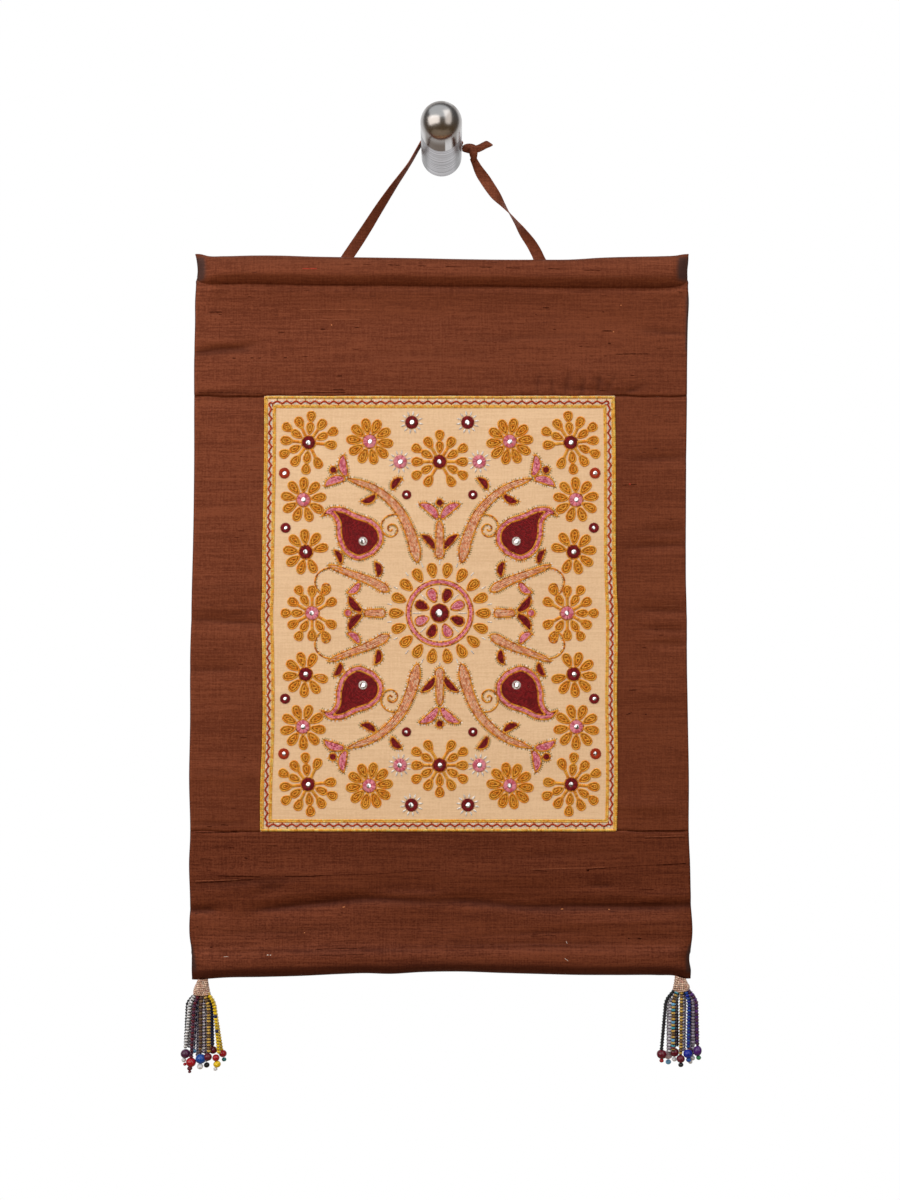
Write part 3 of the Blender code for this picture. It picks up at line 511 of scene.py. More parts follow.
# The bottom band, cut like the top one, with a thinner filled hem along its lower end. It is in a
# darker copy of the brown silk, painted shade for the lower part of the hanging, and has painted
# shade under its hem.
HEM = [Roll(*row) for row in (
    (-194.6, -649, 22.8, 3, 0.4), (-190.5, -649, 23.8, 6.4, 1.2), (-183, -648.3, 23.4, 10.2, 2),
    (-170, -647.3, 22.6, 12.4, 2.4), (-141, -646.7, 22.4, 12.8, 2.6), (-110, -645.9, 23.2, 12.4, 2.4),
    (-79, -644.4, 22.6, 12.8, 2.6), (-60, -643.8, 22, 12.4, 2.4), (-40, -644.3, 22.4, 12.8, 2.4),
    (-16, -642.9, 20.2, 12.8, 2.6), (14, -642.5, 19.6, 12.4, 2.5), (46, -643.6, 21.6, 12.4, 2.4),
    (77, -644.4, 22.8, 12.8, 2.6), (104, -645.1, 23, 12.4, 2.4), (139, -645.2, 22.4, 12.8, 2.6),
    (168, -645.3, 22.6, 12.2, 2.4), (183, -646.1, 23, 9.6, 2), (189.5, -648.1, 23.8, 6.4, 1.2),
    (193.8, -648.3, 22.8, 3, 0.4),
)]
bottom_band = band_piece("bottom_band_silk", HEM, BOTTOM_SEAM, 58, "bottom_band", brown_silk_painted_shade,
                         fullest=0.31, seam_depth=0.35 * MM, groove=0.0, under=0.70)


# The two side strips and the cream panel between them, flat cuts that meet at sewn seams. The
# panel stands a little proud of the brown silk, its sides turned under and its ends tucked in.
PANEL_PROUD = 0.6 * MM
PANEL_SIDES = [Side(*row) for row in (
    (-534.3, -141.9, 137.2), (-499.3, -141.8, 138), (-465.3, -140.5, 138.1), (-431.3, -140.1, 137.6),
    (-388.3, -140.7, 138.3), (-362.3, -141.5, 138.4), (-345.3, -140.8, 137.7), (-321.3, -140.8, 137),
    (-283.3, -140.2, 137), (-242.3, -139.6, 137.1), (-191.3, -139.6, 136.5),
)]
# Soft wrinkles of the cream silk between its stitches.
PANEL_WRINKLES = [Fold(*row) for row in (
    (-84, -372, 30, 5, 12, 0.35), (-20, -300, 34, 6, -24, 0.30), (70, -420, 30, 6, 30, 0.32),
    (-60, -470, 34, 5, -14, 0.30), (88, -268, 26, 6, -38, 0.26), (-100, -240, 26, 6, 34, 0.26),
    (16, -500, 40, 5, 5, 0.28), (60, -340, 26, 5, 60, 0.24), (-96, -420, 20, 4, 80, 0.24),
    (104, -470, 20, 5, 72, 0.24),
)]


def panel_front(x, z):
    """Depth of the cream silk's front at each place."""
    return CLOTH_PLANE - PANEL_PROUD - CLOTH_FRONT - rise(FOLDS, x, z) - rise(PANEL_WRINKLES, x, z)


STRIP_COLUMNS, STRIP_ROWS, STRIP_LAP = 36, 190, 0.6 * MM


def strip_piece(name, outer, node):
    """A brown strip from the hanging's outer edge to the panel."""
    piece, u, v = grid_piece(name, STRIP_COLUMNS, STRIP_ROWS)
    z = BOTTOM_SEAM + (TOP_SEAM - BOTTOM_SEAM) * v
    start, end = cloth_edge(SIDES, "left", z), cloth_edge(PANEL_SIDES, "left", z) + STRIP_LAP
    if outer == "right":
        start, end = cloth_edge(PANEL_SIDES, "right", z) - STRIP_LAP, cloth_edge(SIDES, "right", z)
    x = start + (end - start) * crowded(u)
    y = CLOTH_PLANE - CLOTH_FRONT - rise(FOLDS, x, z) - rise(CREASES, x, z)
    y += turned_back(x - start if outer == "left" else end - x)
    y += (turned_back(TOP_SEAM - z, 1.6 * MM, 0.8 * MM)
          + turned_back(z - BOTTOM_SEAM, 1.2 * MM, 0.3 * MM))
    z += wander(x, z, TOP_SEAM) + wander(x, z, BOTTOM_SEAM)
    set_places(piece, x, y, z)
    add_painted_sheen_and_shade(piece, x, z)
    finish_cloth(piece, SILK_THICKNESS, brown_silk, "brown_silk", node)
    return piece


left_strip = strip_piece("left_strip_silk", "left", "left_strip")
right_strip = strip_piece("right_strip_silk", "right", "right_strip")

cream_silk = silk("cream_silk", dark=(0.83, 0.545, 0.315), light=(0.93, 0.64, 0.39),
                  slub=(0.80, 0.51, 0.29), fleck=(0.93, 0.68, 0.45),
                  roughness=0.58, bump=0.22, lustre=0.0)
PANEL_TUCK = 0.8 * MM
panel, u, v = grid_piece("cream_panel_silk", 120, 142)
tucked_low, tucked_high = BOTTOM_SEAM - PANEL_TUCK, TOP_SEAM + PANEL_TUCK
z = tucked_low + (tucked_high - tucked_low) * crowded(v)
start, end = cloth_edge(PANEL_SIDES, "left", z), cloth_edge(PANEL_SIDES, "right", z)
x = start + (end - start) * crowded(u)
side_rim, end_rim = np.minimum(x - start, end - x), np.minimum(z - tucked_low, tucked_high - z)
turned = np.maximum(turned_back(side_rim, 1.3 * MM, 0.9 * MM),
                    turned_back(end_rim, 2.0 * MM, 1.5 * MM))
set_places(panel, x, panel_front(x, z) + turned, z)
finish_cloth(panel, SILK_THICKNESS, cream_silk, "cream_silk", "embroidered_panel")


# The embroidery: rows of chain stitch in glossy thread, each link a plain oval whose middle is
# painted darker as the shade of a groove. Every shape is sewn as an outline, then as rows inside
# it, over a thin dark patch that paints the shade between the stitches.
copies = bpy.data.node_groups.new("copies_at_points", "GeometryNodeTree")
copies.interface.new_socket("Geometry", in_out="INPUT", socket_type="NodeSocketGeometry")
piece_socket = copies.interface.new_socket("Piece", in_out="INPUT", socket_type="NodeSocketObject")
copies.interface.new_socket("Geometry", in_out="OUTPUT", socket_type="NodeSocketGeometry")
copies_in, copies_out = copies.nodes.new("NodeGroupInput"), copies.nodes.new("NodeGroupOutput")
on_points = copies.nodes.new("GeometryNodeInstanceOnPoints")
piece_info = copies.nodes.new("GeometryNodeObjectInfo")
join_all = copies.nodes.new("GeometryNodeRealizeInstances")
as_rotation = copies.nodes.new("FunctionNodeEulerToRotation")
turn_of, size_of = (copies.nodes.new("GeometryNodeInputNamedAttribute") for _ in range(2))
for reader, label in ((turn_of, "turn"), (size_of, "size")):
    reader.data_type = "FLOAT_VECTOR"
    reader.inputs["Name"].default_value = label
copies.links.new(copies_in.outputs["Geometry"], on_points.inputs["Points"])
copies.links.new(copies_in.outputs["Piece"], piece_info.inputs["Object"])
copies.links.new(piece_info.outputs["Geometry"], on_points.inputs["Instance"])
copies.links.new(turn_of.outputs["Attribute"], as_rotation.inputs["Euler"])
copies.links.new(as_rotation.outputs["Rotation"], on_points.inputs["Rotation"])
copies.links.new(size_of.outputs["Attribute"], on_points.inputs["Scale"])
copies.links.new(on_points.outputs["Instances"], join_all.inputs["Geometry"])
copies.links.new(join_all.outputs["Geometry"], copies_out.inputs["Geometry"])


def place_copies(name, pattern, spots, material, slot, *nodes):
    """One joined mesh of a small piece copied to many spots: place, turn, size and colour each."""
    cloud = bpy.data.meshes.new(name)
    cloud.from_pydata([spot[0] for spot in spots], [], [])
    for each, label in ((1, "turn"), (2, "size")):
        mark = cloud.attributes.new(label, "FLOAT_VECTOR", "POINT")
        mark.data.foreach_set("vector", np.array([tuple(spot[each]) for spot in spots], float).ravel())
    mark = cloud.attributes.new("tint", "FLOAT_COLOR", "POINT")
    mark.data.foreach_set("color", np.array([(*spot[3], 1.0) for spot in spots], float).ravel())
    joined = bpy.data.objects.new(name, cloud)
    bpy.context.scene.collection.objects.link(joined)
    set_out = joined.modifiers.new("copies", "NODES")
    set_out.node_group = copies
    set_out[piece_socket.identifier] = pattern
    bpy.context.view_layer.objects.active = joined
    bpy.ops.object.modifier_apply(modifier="copies")
    for label in ("turn", "size"):
        if label in joined.data.attributes:
            joined.data.attributes.remove(joined.data.attributes[label])
    joined.data.materials.clear()
    joined.data.materials.append(material)
    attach(joined, "root")
    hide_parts(*nodes)
    return joined


def thread_material(name, roughness):
    """Twisted thread whose colour each stitch brings with it. The middle of each link is painted
    darker, as the shade of a groove, and its sides a little lighter.
    """
    material, tree, shader = new_material(name)
    twist = speckle(tree, 2400.0)
    # Painted shade along each link's middle, a little lighter at its sides.
    tone = math_node(tree, "MULTIPLY", between(tree, twist, 0.3, 0.7, 0.84, 1.10),
                     between(tree, attribute(tree, "groove"), 0.60, 0.85, 1.16, 0.62))
    colour = mixed(tree, attribute(tree, "tint", "Color"), tone, 1.0, "MULTIPLY")
    tree.links.new(colour, shader.inputs["Base Color"])
    tree.links.new(between(tree, twist, 0.3, 0.7, roughness + 0.1, roughness - 0.05),
                   shader.inputs["Roughness"])
    shader.inputs["Specular IOR Level"].default_value = 0.25
    return material


GOLD, LEMON, STRAW = (0.90, 0.38, 0.035), (0.96, 0.63, 0.15), (0.96, 0.51, 0.08)
OCHRE, AMBER, UMBER = (0.88, 0.29, 0.016), (0.95, 0.42, 0.045), (0.52, 0.14, 0.010)
MAROON, WINE, RED = (0.195, 0.006, 0.008), (0.300, 0.011, 0.014), (0.50, 0.045, 0.008)
PINK, ROSE = (0.93, 0.330, 0.400), (0.72, 0.140, 0.200)
SALMON, APRICOT, BRICK = (0.90, 0.420, 0.230), (0.94, 0.58, 0.37), (0.74, 0.26, 0.12)
WHITE, PEARL, OLIVE = (0.94, 0.89, 0.84), (0.80, 0.70, 0.64), (0.34, 0.27, 0.075)
THREADS = {
    "large_flowers": ((OCHRE, AMBER, OCHRE, AMBER, AMBER), "gold_thread"),
    "small_flowers": ((OCHRE, AMBER, OCHRE, AMBER, AMBER), "gold_thread"),
    "outlines": ((GOLD, OCHRE, GOLD, UMBER), "gold_thread"),
    "border_rows": ((STRAW, LEMON, STRAW, STRAW, GOLD), "gold_thread"),
    "maroon": ((MAROON, WINE), "red_thread"),
    "red_zigzag": ((RED,), "red_thread"),
    "pink": ((PINK, ROSE, PINK), "pink_thread"),
    "salmon": ((SALMON, APRICOT, SALMON, BRICK), "pink_thread"),
    "white": ((WHITE, WHITE, PEARL), "white_thread"),
    "spikes": ((OLIVE, GOLD, WHITE, OLIVE), "white_thread"),
}
PANEL_CENTRE = complex(-1.4, -363.0)
GAP_SHADE_INSET, OUTLINE_INSET, ROW_SPACING = 0.35, 0.55, 1.12
Stitch = namedtuple("Stitch", "at heading long wide lift")
Patch = namedtuple("Patch", "outline family")
Disc = namedtuple("Disc", "at radius")


class Cover:
    """What is sewn on one part of the panel: stitches by family, dark patches that paint the shade
    between the stitches, and mirrors.
    """
    def __init__(self):
        self.stitches = {family: [] for family in THREADS}
        self.patches, self.discs = [], []


def evenly(path, pitch, closed):
    """Middles and headings of equal steps along a path, and the length of one."""
    path = np.append(path, path[0]) if closed else np.asarray(path)
    run = np.concatenate(([0.0], np.cumsum(np.abs(np.diff(path)))))
    count = max(1, round(run[-1] / pitch))
    ends = np.arange(count + 1) * run[-1] / count
    points = np.interp(ends, run, path.real) + 1j * np.interp(ends, run, path.imag)
    return 0.5 * (points[1:] + points[:-1]), np.angle(np.diff(points)), run[-1] / count


def smooth_path(points, spacing=0.6):
    """A smooth path through a few points."""
    points = np.array(points, complex)
    run = np.concatenate(([0.0], np.cumsum(np.abs(np.diff(points)))))
    at = np.linspace(0.0, run[-1], max(8, int(run[-1] / spacing)))
    return eased(run, points.real, at) + 1j * eased(run, points.imag, at)


def sew_row(cover, family, path, closed=False, pitch=1.65, wide=1.55, lift=0.35):
    at, heading, step = evenly(path, pitch, closed)
    cover.stitches[family] += [Stitch(a, h, step, wide, lift) for a, h in zip(at, heading)]


def ready(outline):
    """An outline as close points that run anticlockwise."""
    outline = np.asarray(outline)
    area = np.sum(np.conj(outline) * np.roll(outline, -1)).imag
    outline = outline if area > 0 else outline[::-1]
    return evenly(outline, 0.45, True)[0]


def inset(outline, distance):
    """The outline moved inwards by a distance, without the parts that would cross."""
    step = np.roll(outline, -1) - np.roll(outline, 1)
    moved = outline + 1j * step / np.abs(step) * distance
    gaps = np.abs(moved[:, None] - outline[None, :]).min(axis=1)
    return moved[gaps > 0.965 * distance]


def sew_rows_inside(cover, family, outline, first, spacing, last=99.0, pitch=1.6, wide=1.35, lift=0.35):
    """Rows that follow an outline inwards until there is no room for more."""
    distance = first
    while distance <= last:
        ring = inset(outline, distance)
        if len(ring) < 5:
            break
        breaks = np.nonzero(np.abs(np.diff(ring)) > 2.2)[0]
        for part in np.split(ring, breaks + 1) if len(breaks) else [ring]:
            if len(part) > 3:
                closed = not len(breaks) and abs(part[0] - part[-1]) < 2.4
                sew_row(cover, family, part, closed, pitch, wide, lift)
        distance += spacing
    return distance


def sew_spikes(cover, outline, away, closed=True, every=1.5, long=1.5):
    """Tiny stitches square to an outline, just outside it."""
    at, heading, _ = evenly(outline, every, closed)
    for spot, way in zip(at, np.exp(1j * (heading - 0.5 * math.pi))):
        cover.stitches["spikes"].append(Stitch(spot + way * away, np.angle(way), long, 0.7, 0.1))


def sew_shape(cover, outline, family, edge="outlines", spikes=True):
    """A filled shape: a dark patch that paints the shade between its stitches, an outline row in
    gold, rows inside it, and spikes round it.
    """
    outline = ready(outline)
    cover.patches.append(Patch(inset(outline, GAP_SHADE_INSET), family))
    sew_row(cover, edge, inset(outline, OUTLINE_INSET), True, 1.6, 1.35)
    sew_rows_inside(cover, family, outline, 1.75, ROW_SPACING)
    if spikes:
        sew_spikes(cover, outline, 0.55)


def petal(length, width):
    """Outline of a petal from its root at nought, widest towards its tip."""
    turn = np.linspace(0.0, 2.0 * math.pi, 60, endpoint=False)
    along = 0.5 * length * (1.0 - np.cos(turn))
    return along - 0.5j * width * np.sin(turn) * (0.70 + 0.58 * along / length)


def sew_petal(cover, family, root, way, length, width):
    """An ochre petal: its rows wind inwards from the edge over a darker patch, painted shade between
    the rows.
    """
    outline = ready(root + way * petal(length, width))
    cover.patches.append(Patch(inset(outline, 0.4), family))
    sew_rows_inside(cover, family, outline, 0.8, 1.6, pitch=1.65, wide=1.35)


def round_path(centre, radius):
    return centre + radius * np.exp(1j * np.linspace(0.0, 2.0 * math.pi, 48, endpoint=False))


def sew_mirror(cover, centre, family, mirror=2.1, ring=4.6, rays=0, edge=True):
    """A little mirror under a ring of close stitches, with a gold row or loose rays round it."""
    cover.discs.append(Disc(centre, mirror))
    # A dark patch under the ring: painted shade between its stitches.
    cover.patches.append(Patch(round_path(centre, ring), family))
    middle = 0.5 * (mirror + ring)
    count = round(2.0 * math.pi * middle / 0.85)
    for number in range(count):
        way = np.exp(2j * math.pi * number / count)
        cover.stitches[family].append(
            Stitch(centre + way * middle, np.angle(way), ring - mirror + 0.5, 0.95, 0.5))
    sew_row(cover, family, round_path(centre, ring), True, 1.3, 1.0, 0.3)
    if edge:
        sew_row(cover, "outlines", round_path(centre, ring + 1.0), True, 1.4, 1.1, 0.3)
    for number in range(rays):
        way = np.exp(2j * math.pi * (number + 0.3) / rays)
        for out, long, wide, lift in ((2.3, 2.1, 1.5, 0.25), (3.8, 1.1, 0.8, 0.2)):
            cover.stitches["white"].append(
                Stitch(centre + way * (ring + out), np.angle(way), long, wide, lift))


def sew_flower(cover, centre, arms, reach, heart, turn=0.0, gap_at=None):
    """A daisy. Large ones have arms of two blobs and arms of a stalk with a blob, turn about."""
    large = reach > 20.0
    family = "large_flowers" if large else "small_flowers"
    for arm in range(arms):
        angle = turn + 2.0 * math.pi * arm / arms
        if gap_at is not None and math.cos(angle - gap_at) > 0.93:
            continue
        way = np.exp(1j * angle)
        if not large:
            sew_petal(cover, family, centre + way * 5.3, way, reach - 5.3, 0.42 * reach)
        elif arm % 2:
            sew_row(cover, family, centre + way * np.array([5.9, 13.8]), False, 1.7, 2.6)
            sew_petal(cover, family, centre + way * 11.6, way, reach - 14.4, 7.9)
        else:
            sew_petal(cover, family, centre + way * 5.9, way, 10.9, 6.9)
            sew_petal(cover, family, centre + way * 15.6, way, reach - 15.6, 8.0)
    sew_mirror(cover, centre, heart)


def sew_leaf(cover, start, end, bend, full, family):
    """A pointed leaf, bowed to one side, with a gold edge."""
    share = np.linspace(0.0, 1.0, 26)
    middle = 0.5 * (start + end) + 1j * (end - start) * bend
    path = (1 - share) ** 2 * start + 2 * share * (1 - share) * middle + share ** 2 * end
    step = np.gradient(path)
    swell = np.sin(math.pi * np.clip(share + 0.10 * (1 - share) ** 2, 0, 1)) ** 0.8
    side = 1j * step / np.abs(step) * full * swell
    sew_shape(cover, np.concatenate((path + side, (path - side)[-2:0:-1])), family)


def sew_stem(cover, points, width, end_width):
    """A stem of rows in salmon within a gold edge."""
    path = smooth_path(points)
    step = np.gradient(path)
    share = np.linspace(0.0, 1.0, len(path))
    full = np.minimum(1.0, 9.0 * share) ** 0.5 * np.minimum(1.0, 6.0 * (1.0 - share) + 0.35)
    side = 0.5j * step / np.abs(step) * (width + (end_width - width) * share) * full
    sew_shape(cover, np.concatenate((path + side, (path - side)[::-1])), "salmon")


def sew_tendril(cover, start, centre, radius, turns, way):
    """A gold tendril that curls into a spiral round its centre."""
    angle = np.angle(start - centre)
    share = np.linspace(0.0, 1.0, 90)
    out = abs(start - centre)
    size = np.where(share < 0.22, out + (radius - out) * share / 0.22,
                    radius * (1.0 - (share - 0.22) / 0.86))
    path = centre + size * np.exp(1j * (angle + way * share * turns * 2.0 * math.pi))
    sew_row(cover, "outlines", path, False, 1.6, 1.5)
    sew_spikes(cover, path[:66] if way < 0 else path[:66][::-1], 0.75, closed=False)


def sew_cup(cover, base, way, size, wings, seed_family):
    """A flower's cup: two bowed wings from one base and a round seed between them."""
    for sign in (1.0, -1.0):
        root, tip = base + way * 1j * sign * 1.2, base + way * size * complex(0.58, 0.80 * sign)
        sew_leaf(cover, root, tip, -0.30 * sign, 3.8, wings)
    seed = 3.6 * np.exp(1j * np.linspace(0.0, 6.28, 24, False))
    sew_shape(cover, base + way * size * 0.62 + seed, seed_family)


PAISLEY = (0.02 - 0.50j, 0.27 - 0.40j, 0.36 - 0.14j, 0.27 + 0.12j, 0.14 + 0.30j, 0.14 + 0.44j,
           0.26 + 0.50j, 0.06 + 0.53j, -0.10 + 0.40j, -0.20 + 0.18j, -0.33 - 0.06j,
           -0.34 - 0.28j, -0.21 - 0.45j, 0.02 - 0.50j)


def sew_paisley(cover, centre, way, size):
    """A paisley: gold edge, bands of pink, a gold line, and maroon round a mirror."""
    outline = ready(centre + way * size * smooth_path(PAISLEY, 0.02)[:-1])
    # A dark patch under the paisley: painted shade between its stitches.
    cover.patches.append(Patch(inset(outline, GAP_SHADE_INSET), "maroon"))
    sew_row(cover, "outlines", inset(outline, OUTLINE_INSET), True, 1.6, 1.4)
    sew_spikes(cover, outline, 0.6)
    reached = sew_rows_inside(cover, "pink", outline, 1.8, ROW_SPACING, last=3.2)
    reached = sew_rows_inside(cover, "outlines", outline, reached + 0.05, ROW_SPACING, last=reached + 0.2)
    sew_rows_inside(cover, "maroon", outline, reached + 0.05, ROW_SPACING)
    sew_mirror(cover, centre + way * size * complex(0.01, -0.22), "white", 2.3, 3.1, edge=False)


middle = Cover()
sew_mirror(middle, 0j, "maroon", 3.2, 6.4)
for number in range(8):
    way = np.exp(0.25j * math.pi * (number + 0.5))
    sew_shape(middle, way * (8.6 + petal(12.6, 8.6)), "maroon" if number % 2 else "pink", spikes=False)
    way = np.exp(0.25j * math.pi * number)
    middle.stitches["white"] += [Stitch(way * (15.5 + 1.6 * k), np.angle(way), 1.4, 1.1, 0.2)
                                 for k in range(4)]
for radius, family in ((22.8, "outlines"), (24.0, "pink"), (25.1, "pink"), (26.2, "outlines")):
    sew_row(middle, family, round_path(0j, radius), True, 1.6, 1.45)
for number in range(18):
    way = np.exp(2j * math.pi * number / 18)
    sew_petal(middle, "small_flowers", way * 27.4, way, 13.0, 8.6)
    way *= np.exp(1j * math.pi / 18)
    middle.stitches["white"] += [Stitch(way * (39.0 + 1.7 * k), np.angle(way), 1.5, 1.2 - 0.2 * k, 0.2)
                                 for k in range(2)]

upper = Cover()
sew_stem(upper, (42j, 56j, 73j), 8.6, 6.0)
for sign in (1, -1):
    sew_leaf(upper, sign * 3.2 + 49j, sign * 16 + 62j, 0.22 * sign, 3.4, "maroon")
sew_cup(upper, 73j, 1j, 22.0, "pink", "maroon")
sew_flower(upper, 119j, 12, 25.5, "maroon", 0.5 * math.pi, -0.5 * math.pi)

outer = Cover()
sew_stem(outer, (42 + 0j, 50 + 0j, 60 + 0j), 8.6, 6.0)
sew_cup(outer, 60 + 0j, 1.0, 19.0, "maroon", "pink")
sew_flower(outer, 100 + 0j, 12, 25.0, "pink", 0.0, math.pi)

corner = Cover()
sew_stem(corner, (17 + 39j, 22 + 60j, 33 + 82j, 50 + 97j, 73 + 106j), 10.0, 5.0)
sew_leaf(corner, 37 + 96j, 28 + 106j, -0.40, 3.4, "maroon")
sew_leaf(corner, 50 + 94j, 63 + 88j, -0.36, 3.4, "maroon")
sew_cup(corner, 73 + 106j, np.exp(0.55j), 20.0, "pink", "maroon")
sew_flower(corner, 103 + 134j, 12, 25.5, "maroon", 0.62 + math.pi, 0.62 + math.pi)
sew_stem(corner, (39 + 17j, 54 + 25j, 70 + 31j, 88 + 38j), 8.6, 4.6)
sew_leaf(corner, 63 + 25j, 74 + 16j, -0.40, 3.4, "pink")
sew_leaf(corner, 49 + 28j, 52 + 41j, 0.42, 3.4, "maroon")
sew_leaf(corner, 78 + 38j, 84 + 50j, 0.36, 3.2, "maroon")
sew_flower(corner, 105 + 48j, 9, 18.5, "maroon", 0.45 + math.pi / 9, 0.55 + math.pi)
sew_flower(corner, 107 + 89j, 9, 18.5, "pink", 0.2)
sew_flower(corner, 55 + 135j, 10, 19.0, "pink", 0.1)
sew_paisley(corner, 67 + 65j, np.exp(-0.72j), 50.0)
sew_tendril(corner, 30 + 76j, 38 + 66j, 7.0, 1.8, -1.0)
sew_tendril(corner, 76 + 33j, 90 + 20j, 6.5, 1.7, -1.0)
sew_mirror(corner, 31 + 119j, "pink", 2.2, 4.7, 12, False)
sew_mirror(corner, 22 + 150j, "maroon", 2.2, 4.6, 12, False)
sew_mirror(corner, 121 + 67j, "maroon", 1.6, 3.5, 0, False)
sew_mirror(corner, 122 + 110j, "red_zigzag", 1.8, 3.8, 0, False)
sew_mirror(corner, 26 + 93j, "maroon", 1.4, 3.2, 0, False)


# The border follows the panel's edge: a broad gold row, a red zigzag with white scallops in its
# hollows, and a narrower gold row. It is sewn on its own, side by side with the edge.
WAVE_LENGTH = 7.3
edging = Cover()


def edge_points(distance, spacing=1.0):
    """The panel's outline at a distance inside its edge, anticlockwise, by its four sides."""
    low, high = BOTTOM_SEAM / MM + distance, TOP_SEAM / MM - distance
    heights = np.linspace(low, high, int((high - low) / spacing))
    left = cloth_edge(PANEL_SIDES, "left", heights * MM) / MM + distance
    right = cloth_edge(PANEL_SIDES, "right", heights * MM) / MM - distance
    bottom = np.linspace(left[0], right[0], int((right[0] - left[0]) / spacing)) + 1j * low
    top = np.linspace(right[-1], left[-1], int((right[-1] - left[-1]) / spacing)) + 1j * high
    sides = (bottom, right + 1j * heights, top, (left + 1j * heights)[::-1])
    return [side - PANEL_CENTRE for side in sides]


for number, side in enumerate(edge_points(1.0)):
    sew_row(edging, "border_rows", side, False, 1.6, 1.9 if number % 2 else 2.1, 0.35)
for side in edge_points(2.4)[1::2]:
    sew_row(edging, "border_rows", side, False, 1.6, 1.4, 0.3)
for distance in (7.6, 8.8):
    for side in edge_points(distance):
        sew_row(edging, "border_rows", side, False, 1.6, 1.4, 0.3)
for side in edge_points(4.9):
    length = np.abs(np.diff(side)).sum()
    waves = round(length / WAVE_LENGTH)
    at, heading, _ = evenly(side, length / (2 * waves), False)
    inward = 1j * np.exp(1j * heading)
    swing = np.where(np.arange(len(at)) % 2, 1.2, -1.2)
    zigzag = np.concatenate(([side[0]], at + inward * swing, [side[-1]]))
    sew_row(edging, "red_zigzag", zigzag, False, 1.9, 1.4, 0.5)
    for spot, way, angle, out in zip(at, inward, heading, swing):
        tick = "spikes" if out < 0 else "red_zigzag"
        edging.stitches[tick].append(Stitch(spot + way * 1.75 * out, np.angle(way), 1.9, 0.8, 0.3))
        for across in (-1.0, 0.0, 1.0):
            hollow = spot - way * out * 0.75 + np.exp(1j * angle) * across
            edging.stitches["white"].append(Stitch(hollow, angle + 1.3 * across, 1.2, 0.9, 0.1))


# One pattern of a chain link, a plain oval whose middle row of points is marked for the painted
# shade of a groove between two strands, is copied to every stitch. All the stitches of one thread
# are one piece, as an embroiderer works colour by colour.
bpy.ops.mesh.primitive_uv_sphere_add(segments=4, ring_count=3, radius=0.5)
link = bpy.context.object
link.name = "chain_link_pattern"
# The middle of the oval is marked for painted shade, in place of a groove between strands.
groove = [0.0 if abs(vertex.co.x) > 0.1 else 1.0 for vertex in link.data.vertices]
link.data.attributes.new("groove", "FLOAT", "POINT").data.foreach_set("value", groove)
for vertex in link.data.vertices:
    wide = 1.06 + 0.5 * vertex.co.z
    vertex.co = (vertex.co.z * 1.28, vertex.co.y * 0.54, vertex.co.x * wide)


def face_outwards():
    """Turns all faces of the active piece outwards."""
    bpy.ops.object.mode_set(mode="EDIT")
    bpy.ops.mesh.select_all(action="SELECT")
    bpy.ops.mesh.normals_make_consistent(inside=False)
    bpy.ops.object.mode_set(mode="OBJECT")


face_outwards()
bpy.ops.object.shade_smooth()

thread = thread_material("embroidery_thread", 0.42)
gap_shade_material = thread_material("thread_padding", 0.75)
# Each part of the design with every way in which it is mirrored across and up.
COVERS = ((middle, 1, 1), (upper, 1, 1), (upper, 1, -1), (outer, 1, 1), (outer, -1, 1), (corner, 1, 1),
          (corner, -1, 1), (corner, 1, -1), (corner, -1, -1), (edging, 1, 1))
chance = random.Random(7)


def on_panel(at, lift):
    """The place on the panel's front of a spot in the design."""
    at = np.atleast_1d(at) + PANEL_CENTRE
    x, z = at.real * MM, at.imag * MM
    return np.stack((x, panel_front(x, z) - lift * MM, z), 1)


def flip(at, across, up):
    return np.real(at) * across + 1j * np.imag(at) * up


for family, (tints, slot) in THREADS.items():
    rows = [(flip(s.at, across, up), np.angle(flip(np.exp(1j * s.heading), across, up)),
             s.long, s.wide, s.lift)
            for cover, across, up in COVERS for s in cover.stitches[family]]
    table = np.array(rows)
    places = on_panel(table[:, 0], table[:, 4].real)
    spots = []
    for place, (_, heading, long, wide, _) in zip(places, rows):
        tint = Vector(chance.choice(tints)) * chance.uniform(0.86, 1.14)
        turn = (0.0, -float(np.real(heading)) + chance.uniform(-0.12, 0.12), 0.0)
        size = (long * 1.18 * MM, min(1.1, 0.75 * wide) * MM, wide * MM)
        spots.append((tuple(place), turn, size, tint))
    place_copies(f"{family}_stitches", link, spots, thread, slot, "embroidered_panel")


# Thin dark patches under the filled shapes, in a deeper tone of each thread: painted shade that
# darkens the gaps between the stitches.
OCHRE_GAP_SHADE = (0.40, 0.115, 0.010)
GAP_SHADE_TINTS = {"large_flowers": OCHRE_GAP_SHADE, "small_flowers": OCHRE_GAP_SHADE, "maroon": MAROON,
                 "pink": ROSE, "salmon": SALMON, "white": PINK, "red_zigzag": RED}
corners, faces, tints = [], [], []
for cover, across, up in COVERS:
    for patch in cover.patches:
        outline = flip(patch.outline, across, up)
        outline = outline[::2] if len(outline) > 15 else outline
        if len(outline) < 4:
            continue
        first = len(corners)
        corners += [tuple(place) for place in on_panel(outline, 0.12)]
        tints += [(*(0.8 * value for value in GAP_SHADE_TINTS[patch.family]), 1.0)] * len(outline)
        flat = [Vector((point.real, point.imag, 0.0)) for point in outline]
        for a, b, c in tessellate_polygon([flat]):
            area = np.imag(np.conj(outline[b] - outline[a]) * (outline[c] - outline[a]))
            b, c = (b, c) if area > 0 else (c, b)
            faces.append((first + a, first + b, first + c))
mesh = bpy.data.meshes.new("thread_padding")
mesh.from_pydata(corners, [], faces)
